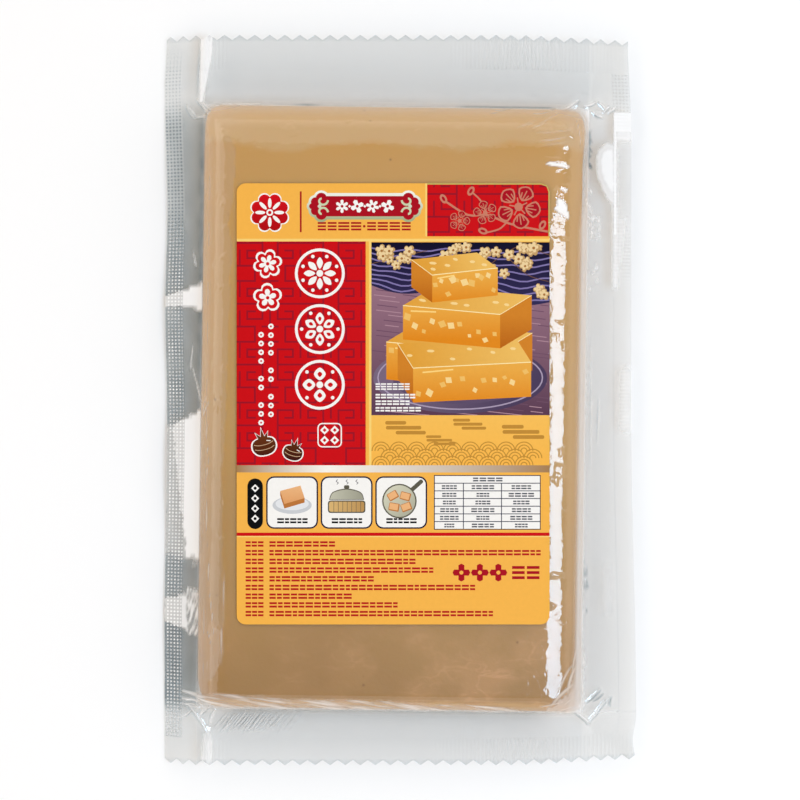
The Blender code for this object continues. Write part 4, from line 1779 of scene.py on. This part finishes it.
    def chestnuts(self) -> None:
        """Two brown water chestnuts with white edges, each with a crown of pointed shoots."""
        body = [(-3.9, 0.6), (-3.2, -1.9), (0, -2.7), (3.2, -1.9)]
        body += [(3.9, 0.6), (2.6, 2.6), (0, 3.2), (-2.6, 2.6)]
        shoots = (
            np.array([(-1.3, -2.2), (-1.9, -4.6), (0.1, -2.6)]),
            np.array([(-0.6, -2.4), (0.3, -5.8), (1, -2.4)]),
            np.array([(0.3, -2.5), (2.3, -4.3), (1.6, -2.1)]),
        )
        for centre, size, turn in (((9.2, 88), 1, -14), ((18.9, 90.3), 0.82, 16)):
            outline = flowing(body, 3, True)
            for grown, ink in ((1.13, WHITE), (1, Ink((110, 58, 32), (66, 30, 18), (9, 84), (9, 92.5)))):
                for shoot in shoots:
                    middle = shoot.mean(axis=0)
                    wide = (shoot - middle) * (grown * 2.2 - 1.2) + middle
                    self.fill(turned(wide * size, turn, centre), ink)
                self.fill(turned(outline * size * grown, turn, centre), ink)
            for level in (-0.9, 0.7):
                arc = flowing([(-3.3, level), (-1.5, level + 0.6), (1.5, level + 0.6), (3.3, level)], 3)
                self.line(turned(arc * size, turn, centre), 0.2, Ink((214, 178, 140)))
            glint = np.array([(1.2, -1.5), (2.5, -1.1)])
            self.line(turned(glint * size, turn, centre), 0.3, WHITE)

    def picture(self) -> None:
        """A plate of amber bars of cake with pale dice in them, before a striped cloth and blossom."""
        left, top, right, bottom = 45.2, 19.8, 105, 77.8
        self.fill(box(44.4, 19.5, 45.2, 94.6), PALE_YELLOW)
        self.fill(box(left, top, right, bottom), Ink((158, 118, 134), (92, 62, 82), (75, 30), (75, 78)))
        random = np.random.default_rng(8)
        for y in np.arange(34, 78, 1.7):
            x = left + random.uniform(0, 6)
            while x < right - 3:
                end = min(x + random.uniform(4, 14), right)
                tone = Ink((178, 140, 152)) if random.uniform() < 0.5 else Ink((112, 80, 100))
                lean = (end - x) * 0.12
                self.line([(x, y), (end, min(y + lean, bottom))], 0.28, tone)
                x = end + random.uniform(1, 5)
        across = np.linspace(left, right, 25)
        hem = 34.2 + 1.8 * np.sin((across - left) * 0.16) + (across - left) * 0.1
        cloth = np.concatenate([[(left, top), (right, top)], np.stack([across, hem], axis=-1)[::-1]])
        self.fill(cloth, Ink((24, 20, 40), (56, 50, 88), (75, 19), (75, 42)))
        for share in np.linspace(0.16, 0.94, 8):
            stripe = top + (hem - top) * share + 0.4 * np.sin(across * 0.5 + 6 * share)
            self.line(np.stack([across, stripe], axis=-1), 0.5, Ink((132, 120, 172)))
        self.sprays()
        plate = Ink((122, 104, 126), (78, 64, 92), (60, 55), (90, 78))
        dish = oval((75, 65.4), 29.2, 11.8, count=48)
        self.fill(dish, plate)
        self.line(oval((75, 65.2), 27.6, 10.6, count=48), 0.45, Ink((172, 156, 180)), True)
        self.fill(oval((75, 65.8), 22.6, 8.2, count=40), Ink((96, 80, 106)))
        for corner, along, up, depth in (
            ((50.2, 65.8), (37.4, 4), (0, -12.6), (11.6, -7)),
            ((59.2, 73.6), (39.6, -2), (0, -11.6), (-5.2, -8.2)),
            ((55.8, 52.4), (32.6, 3), (0, -11.4), (10.6, -6.4)),
            ((65.6, 40), (22, -2.4), (0, -9.2), (-7, -5.2)),
        ):
            self.bar(np.array(corner), np.array(along), np.array(up), np.array(depth), random)
        for row, count, height in ((68.2, 6, 2.2), (71.4, 7, 1.5), (73.6, 6, 1.5), (75.8, 8, 1.5)):
            lengths = np.random.default_rng(int(row)).uniform(0.7, 1.1, count)
            self.marks(46.6, row, 46.6 + count * 1.9, height, lengths, WHITE)

    def bar(self, corner: Array, along: Array, up: Array, depth: Array, random: np.random.Generator) -> None:
        """One bar of cake: front, end and top faces with dice, and a bright line along its edges.

        Args:
            corner: The front face's lower left corner.
            along: From there to its lower right corner.
            up: From there to its upper left corner.
            depth: From the front face to the back one.
            random: Source of the dice's places.
        """
        front = np.array([corner, corner + along, corner + along + up, corner + up])
        lid = np.array([corner + up, corner + along + up, corner + along + up + depth, corner + up + depth])
        side_foot = corner + along if depth[0] > 0 else corner
        side = np.array([side_foot, side_foot + depth, side_foot + depth + up, side_foot + up])
        self.fill(side, Ink((212, 132, 44), (186, 100, 26), tuple(side_foot + up), tuple(side_foot)))
        self.fill(lid, Ink((240, 190, 98), (228, 162, 62), tuple(lid[2]), tuple(lid[0])))
        self.fill(front, Ink((238, 172, 72), (228, 138, 34), tuple(corner + up), tuple(corner)))
        pale, soft = Ink((250, 216, 146)), Ink((242, 192, 104))
        for number in range(11):
            share, rise = (number + random.uniform(0.2, 0.8)) / 11, random.uniform(0.16, 0.84)
            middle = corner + along * share + up * rise
            size = random.uniform(0.8, 1.7)
            piece = oval(tuple(middle), size, size * 0.86, random.uniform(10, 80), 4)
            self.fill(piece, pale if number % 2 else soft)
        for number in range(6):
            share, back = (number + random.uniform(0.2, 0.8)) / 6, random.uniform(0.25, 0.75)
            middle = corner + up + along * share + depth * back
            self.fill(oval(tuple(middle), random.uniform(0.8, 1.4), 0.5, random.uniform(0, 20), 6), pale)
        shine = Ink((255, 236, 176))
        self.line([tuple(lid[0]), tuple(lid[1])], 0.3, shine)
        start, end = (lid[1], lid[2]) if depth[0] > 0 else (lid[0], lid[3])
        self.line([tuple(start), tuple(end)], 0.22, shine)
        glow = [corner + along * 0.08 + up * 0.86, corner + along * 0.34 + up * 0.9]
        self.line(glow, 0.5, Ink((255, 216, 130)))

    def sprays(self) -> None:
        """Small dried flowers on thin stems, over the cloth."""
        random = np.random.default_rng(21)
        stem = Ink((120, 84, 60))
        for start, end in (((45.2, 27), (64, 22.6)), ((104.8, 24), (82, 30)), ((104.8, 33), (90, 24))):
            self.line(flowing([start, ((start[0] + end[0]) / 2, start[1] - 2.4), end], 4), 0.22, stem)
        groups = (((52, 24.6), 8, 6), ((93, 26.4), 15, 10), ((72, 22.6), 5, 5), ((101, 36), 4, 3))
        for middle, count, spread in groups:
            for _ in range(count):
                x = float(np.clip(middle[0] + random.uniform(-spread, spread), 46.6, 103.4))
                y = float(np.clip(middle[1] + random.uniform(-0.5, 0.5) * spread, 21.4, 44))
                size, turn = random.uniform(1.3, 2.4), random.uniform(0, 72)
                self.fill(flower((x, y), size * 0.62, size, 5, turn, 4), Ink((198, 158, 104)))
                petals = flower((x - 0.2, y - 0.2), size * 0.46, size * 0.78, 5, turn, 4)
                self.fill(petals, Ink((238, 210, 158)))
                self.fill(oval((x, y), size * 0.22, count=6), Ink((168, 112, 56)))

    def clouds(self) -> None:
        """The band below the picture: bars of cloud over rows of scalloped waves, in ochre."""
        self.fill(box(45.2, 77.8, 105, 94.6), Ink((250, 192, 90), (250, 184, 78), (75, 78), (75, 95)))
        for x, y, size in ((56, 82, 1.1), (77.6, 80.8, 0.9), (95.4, 83.4, 1.15), (68, 86.2, 0.8)):
            for shift, level, half in ((0, 0, 5.4), (2.2, 1.5, 4.6), (-2.4, -1.5, 3.2)):
                outline = box(
                    x + (shift - half) * size, y + (level - 0.55) * size,
                    x + (shift + half) * size, y + (level + 0.55) * size, 0.5 * size, 3,
                )
                self.fill(outline, OCHRE)
        for row in range(3):
            base = 94.6 - 2.4 * (2 - row)
            for column in range(10):
                centre_x = 48.4 + 6 * column + 3 * (row % 2)
                if centre_x > 102:
                    continue
                for radius in (3, 2, 1):
                    angle = np.radians(np.linspace(180, 360, 13))
                    arc = radius * np.stack([np.cos(angle), np.sin(angle)], axis=-1)
                    self.line(arc + (centre_x, base), 0.34, OCHRE)
        bronze, shine = (168, 128, 84), (250, 246, 236)
        for start, end, first, last in ((0, 30, bronze, shine), (30, 105, shine, bronze)):
            ink = Ink(first, last, (start, 95), (end, 95))
            self.fill(box(start, 94.6, end, 97), ink)

    def directions(self) -> None:
        """A black tag and three white tiles with small drawings: a slab, a steamer and a pan."""
        self.fill(box(3.6, 99, 8.8, 116, 2.6, 6), BLACK)
        for index in range(4):
            self.fill(oval((6.2, 102.3 + 3.4 * index), 1.35, count=4), WHITE)
            self.fill(oval((6.2, 102.3 + 3.4 * index), 0.55, count=8), BLACK)
        for left in (10.2, 28.5, 46.8):
            self.fill(box(left - 0.3, 98.3, left + 17.1, 115.9, 2.6, 5), NAVY)
            self.fill(box(left + 0.2, 98.8, left + 16.6, 115.4, 2.2, 5), WHITE)
            row = np.random.default_rng(int(left)).uniform(0.8, 1.6, 6)
            self.marks(left + 3.4, 113.2, left + 13.6, 1.7, row[:5], BLACK)
        crust, slice_ink = Ink((190, 120, 62)), Ink((240, 186, 132), (222, 150, 92), (0, 101), (0, 110))
        self.fill(oval((18.6, 108), 6.6, 2.9, count=28), Ink((205, 207, 210)))
        self.fill(oval((18.6, 107.5), 5.6, 2.2, count=28), Ink((232, 233, 235)))
        slab = np.array([(14.6, 103.2), (21.4, 101.4), (22.8, 105.6), (16, 107.6)])
        self.fill(np.concatenate([slab[2:], (slab[2:] + (0, 1.5))[::-1]]), crust)
        self.fill(np.array([slab[0], slab[3], slab[3] + (0, 1.5), slab[0] + (0, 1.5)]), crust)
        self.fill(slab, slice_ink)
        shade_and_steel, dark = Ink((200, 198, 178), (152, 150, 132), (30, 0), (44, 0)), Ink((96, 92, 78))
        self.fill(box(30.6, 106.4, 43.2, 110.6, 0.9, 3), dark)
        self.fill(box(31, 106.8, 42.8, 110.2, 0.7, 3), Ink((222, 184, 120), (186, 142, 84), (30, 0), (44, 0)))
        for x in np.arange(32.6, 42, 1.5):
            self.line([(x, 106.8), (x, 110.2)], 0.16, dark)
        lid = flowing([(31, 106.2), (32.2, 103.6), (36.9, 102.4), (41.6, 103.6), (42.8, 106.2)], 4)
        self.fill(lid, dark)
        self.fill((lid - (36.9, 105.6)) * (0.95, 0.86) + (36.9, 105.5), shade_and_steel)
        self.fill(box(36, 101.3, 37.8, 102.5, 0.4, 2), dark)
        for x in (33.6, 36.9, 40.2):
            steam = flowing([(x, 101), (x + 0.5, 100.5), (x - 0.2, 100), (x + 0.3, 99.4)], 3)
            self.line(steam, 0.2, GREY)
        handle = turned(box(5.2, -0.7, 10.4, 0.7, 0.5, 2), -42, (54.6, 106.6))
        self.fill(handle, dark)
        self.fill(oval((54.6, 106.6), 5.8, count=28), dark)
        tin = Ink((216, 214, 190), (176, 174, 152), (50, 102), (59, 111))
        self.fill(oval((54.6, 106.6), 5.35, count=28), tin)
        for x, y, turn in ((52.4, 104.8, -30), (56.6, 105, 15), (52.8, 108.6, 10), (56.9, 108.6, -20)):
            self.fill(turned(box(-1.75, -1.35, 1.75, 1.35, 0.3, 2), turn, (x, y)), crust)
            self.fill(turned(box(-1.45, -1.05, 1.45, 1.05), turn, (x - 0.1, y - 0.1)), Ink((240, 182, 126)))

    def table(self) -> None:
        """A white table with navy rules and a small grey mark or two in each cell."""
        left, top, right, bottom = 66.2, 97.9, 102, 116.2
        self.fill(box(left, top, right, bottom), NAVY)
        rows = np.linspace(top + 0.28, bottom, 8)
        columns = (left + 0.28, 76.2, 89, right)
        random = np.random.default_rng(14)
        for number, (above, below) in enumerate(zip(rows, rows[1:])):
            spans = ((columns[0], columns[3]),) if number == 0 else tuple(zip(columns, columns[1:]))
            for start, end in spans:
                self.fill(box(start, above, end - 0.28, below - 0.28), WHITE)
                middle = (start + end) / 2
                half = random.uniform(0.16, 0.34) * (end - start) * (0.45 if number == 0 else 1)
                lengths = random.uniform(0.6, 1.2, 4)
                self.marks(middle - half, (above + below) / 2 - 0.1, middle + half, 1.3, lengths, GREY)

    def small_print(self) -> None:
        """The red rule, and rows of small marks where a pack has its particulars."""
        self.fill(box(0, 117.2, 105, 118.3), RED)
        self.fill(box(0, 118.3, 105, 118.7), PALE_YELLOW)
        random = np.random.default_rng(33)
        ink = Ink((184, 34, 36))
        rows = (33, 102, 60, 66, 46, 80, 38.6, 54, 86)
        for number, end in enumerate(rows):
            y = 121 + 2.92 * number
            self.marks(3, y, 9, 1.8, random.uniform(0.9, 1.1, 3), ink)
            self.marks(11, y, end, 1.8, random.uniform(0.8, 1.6, max(int((end - 11) / 2.5), 2)), ink)
        for x in (75.4, 81.6, 87.8):
            self.fill(flower((x, 130.6), 1.4, 3, 4, 45, 4), DEEP_RED)
            self.fill(oval((x, 130.6), 0.7, count=8), YELLOW)
        self.marks(92.4, 130.6, 101.6, 4.4, np.array([1, 1]), DEEP_RED)

    def marks(self, start: float, y: float, end: float, height: float, lengths: Array, ink: Ink) -> None:
        """A row of small marks, each of two or three thin bars, one above another; see dashes.

        Args:
            start: The row's left end.
            y: Its middle.
            end: Its right end.
            height: Its height.
            lengths: How long each mark is beside the others.
            ink: Its colour.
        """
        bars = 3 if height > 2.1 else 2
        thick = 1.1 * height / (2 * bars - 1)
        for level in np.linspace((thick - height) / 2, (height - thick) / 2, bars):
            self.dashes(start, y + level, end, thick, lengths, ink)

    def dashes(self, start: float, y: float, end: float, height: float, lengths: Array, ink: Ink) -> None:
        """A row of small bars whose lengths are shares of the row, with even gaps.

        Args:
            start: The row's left end.
            y: Its middle.
            end: Its right end.
            height: Its height.
            lengths: How long each bar is beside the others.
            ink: Its colour.
        """
        gap = 0.16 * (end - start) / len(lengths)
        sizes = np.asarray(lengths) / np.sum(lengths) * (end - start - gap * (len(lengths) - 1))
        x = start
        for size in sizes:
            self.fill(box(x, y - height / 2, x + size, y + height / 2), ink)
            x += size + gap


@dataclass
class Label:
    """The paper label: a plate with round corners, printed on its front.

    The inks are stated as they look in the studio, so the light's share, gloss and exposure, is taken
    out of them.
    """

    low: Array
    high: Array
    finish: PrintFinish = PrintFinish()
    corner: float = 3.0
    gloss: float = 0.01
    exposure: float = 1.085
    back: Colour = (240, 238, 232)

    def build(self) -> bpy.types.Object:
        """Makes the plate, its front cut into the print's fields of colour.

        Returns:
            The piece, which stands for the CAD label.
        """
        width, length = (self.high - self.low)[:2]
        art = Artwork(box(0.0, 0.0, width, length, self.corner, 6), YELLOW)
        art.draw()
        places, triangles, top = art.panes()
        triangles = triangles[:, ::-1]
        front = np.empty((len(places), 3))
        front[:, 0] = self.low[0] + places[:, 0]
        front[:, 1] = self.high[1] - places[:, 1]
        front[:, 2] = self.high[2]
        under = front * (1.0, 1.0, 0.0) + (0.0, 0.0, self.low[2])
        edges = np.concatenate([triangles[:, [0, 1]], triangles[:, [1, 2]], triangles[:, [2, 0]]])
        count = len(places)
        rim = edges[~np.isin(edges @ (count, 1), edges @ (1, count))]
        walls = np.stack([rim[:, 1], rim[:, 0], rim[:, 0] + count, rim[:, 1] + count], axis=-1)
        faces = triangles.tolist() + (triangles[:, ::-1] + count).tolist() + walls.tolist()
        mesh = bpy.data.meshes.new("printed_label")
        mesh.from_pydata(np.concatenate([front, under]) * MM, [], faces)
        colours = self.colours(art.inks, places[triangles], top, 3 * len(triangles) + 4 * len(walls))
        ink = mesh.color_attributes.new("ink", "FLOAT_COLOR", "CORNER")
        ink.data.foreach_set("color", colours.astype(np.float32).ravel())
        mesh.materials.append(self.finish.material())
        piece = bpy.data.objects.new("printed_label", mesh)
        bpy.context.scene.collection.objects.link(piece)
        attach(piece, BODY)
        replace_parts(piece, "label")
        log.info("printed_label: %d shapes, %d faces", len(art.inks), len(faces))
        return piece

    def colours(self, inks: list[Ink], corners_of: Array, top: Array, unprinted: int) -> Array:
        """Linear colours of all the faces' corners: the front's as printed, the others' plain paper.

        Args:
            inks: The print's inks.
            corners_of: The places of each front triangle's corners.
            top: The number of each front triangle's ink.
            unprinted: Number of the other faces' corners.

        Returns:
            A row of red, green, blue and alpha for each corner.
        """
        colours = np.tile(np.array(linear(self.back)), (3 * len(top) + unprinted, 1))
        for shape in np.unique(top):
            chosen = np.flatnonzero(top == shape)
            loops = (chosen[:, None] * 3 + np.arange(3)).ravel()
            shade = inks[shape].shade(corners_of[chosen].reshape(-1, 2))
            colours[loops] = np.clip((shade - self.gloss) / self.exposure, 0.0, 1.0)
        colours[:, 3] = 1.0
        return colours


@dataclass(frozen=True)
class Softbox:
    """An even rectangular light that hangs level and shines down, with its size and place in metres."""

    name: str
    place: tuple[float, float, float]
    size: Point
    radiance: float
    colour: tuple[float, float, float] = (1.0, 1.0, 1.0)


@dataclass
class Studio:
    """The pale floor, the soft lights and the camera that looks straight down.

    The surround fades to the overhead strength between the two fade angles from straight up.
    The floor's rim and the camera's height are in metres, and scale is millimetres per pixel.
    """

    label_top: float
    camera_height: float = 1.15
    scale: float = 0.3355
    picture_width: float = 800.0
    rim: float = 3.0
    surround: float = 0.84
    overhead: float = 0.04
    fade: Point = (42.0, 30.0)
    tone: tuple[float, float, float, float] = (1.12, 1.0, 0.885, 1.0)
    softboxes: tuple[Softbox, ...] = (
        Softbox("key", (0.318, -0.054, 1.0), (0.424, 0.372), 7.35, (0.76, 1.0, 1.25)),
        Softbox("left", (-0.83, 0.225, 1.0), (0.74, 1.75), 0.8),
        Softbox("top", (0.17, 0.72, 1.0), (1.26, 0.77), 0.45),
        Softbox("bottom", (0.1, -0.66, 1.0), (1.3, 0.64), 0.6),
    )

    def build(self) -> None:
        """Makes the floor, the world, the lights and the camera."""
        self.floor()
        self.world()
        for light in self.softboxes:
            self.hang(light)
        self.camera()

    def floor(self) -> None:
        """A wide pale floor under the pack."""
        rim = self.rim
        mesh = bpy.data.meshes.new("floor")
        outline = [(-rim, -rim, 0.0), (rim, -rim, 0.0), (rim, rim, 0.0), (-rim, rim, 0.0)]
        mesh.from_pydata(outline, [], [(0, 1, 2, 3)])
        made = bpy.data.materials.new("floor")
        tree = Tree(made)
        shader = tree.add("BsdfPrincipled", {"Base Color": (0.97, 0.97, 0.97, 1.0), "Roughness": 0.9})
        tree.add("OutputMaterial", {"Surface": shader.outputs["BSDF"]})
        mesh.materials.append(made)
        floor = bpy.data.objects.new("floor", mesh)
        bpy.context.scene.collection.objects.link(floor)

    def world(self) -> None:
        """An even white surround that is dark overhead, between the softboxes."""
        world = bpy.data.worlds.new("surround")
        bpy.context.scene.world = world
        tree = Tree(world)
        way = tree.add("TexCoord").outputs["Generated"]
        up = tree.add("SeparateXYZ", {"Vector": way}).outputs["Z"]
        start, end = (math.cos(math.radians(angle)) for angle in self.fade)
        strength = tree.span(up, start, end, self.surround, self.overhead)
        light = tree.add("Background", {"Color": self.tone, "Strength": strength})
        tree.add("OutputWorld", {"Surface": light.outputs[0]})

    def hang(self, light: Softbox) -> None:
        """Hangs a light, whose power is pi times its area times its radiance.

        Args:
            light: What it is like.
        """
        lamp = bpy.data.lights.new(light.name, "AREA")
        lamp.shape = "RECTANGLE"
        lamp.size, lamp.size_y = light.size
        lamp.energy = light.radiance * math.pi * light.size[0] * light.size[1]
        lamp.color = light.colour
        hung = bpy.data.objects.new(light.name, lamp)
        hung.location = light.place
        bpy.context.scene.collection.objects.link(hung)

    def camera(self) -> None:
        """A long lens straight above, framed so that the label has its size in the photograph."""
        lens = bpy.data.cameras.new("camera")
        lens.sensor_width = 36.0
        distance = self.camera_height / MM - self.label_top
        lens.lens = lens.sensor_width / self.picture_width * distance / self.scale
        lens.clip_start, lens.clip_end = 0.01, 20.0
        camera = bpy.data.objects.new("camera", lens)
        camera.location = (0.0, 0.0, self.camera_height)
        bpy.context.scene.collection.objects.link(camera)
        bpy.context.scene.camera = camera
        bpy.context.scene.view_settings.view_transform = "Standard"


def main() -> None:
    """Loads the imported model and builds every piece."""
    logging.basicConfig(level=logging.INFO, format="%(message)s")
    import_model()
    low, high = (np.array(corner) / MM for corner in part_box("sealed_pouch"))
    width, length, thickness = high - low
    form = PouchForm(width=width, length=length, thickness=thickness)
    clear_film = FilmFinish().material()
    Cake(form).build()
    Film(form, clear_film).build()
    for side in Side:
        SideSeal(form, clear_film, side).build()
    for end in End:
        EndSeal(form, clear_film, end).build()
    label_low, label_high = (np.array(corner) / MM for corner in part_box("label"))
    Label(label_low, label_high).build()
    Studio(label_top=label_high[2]).build()


if __name__ == "__main__":
    main()
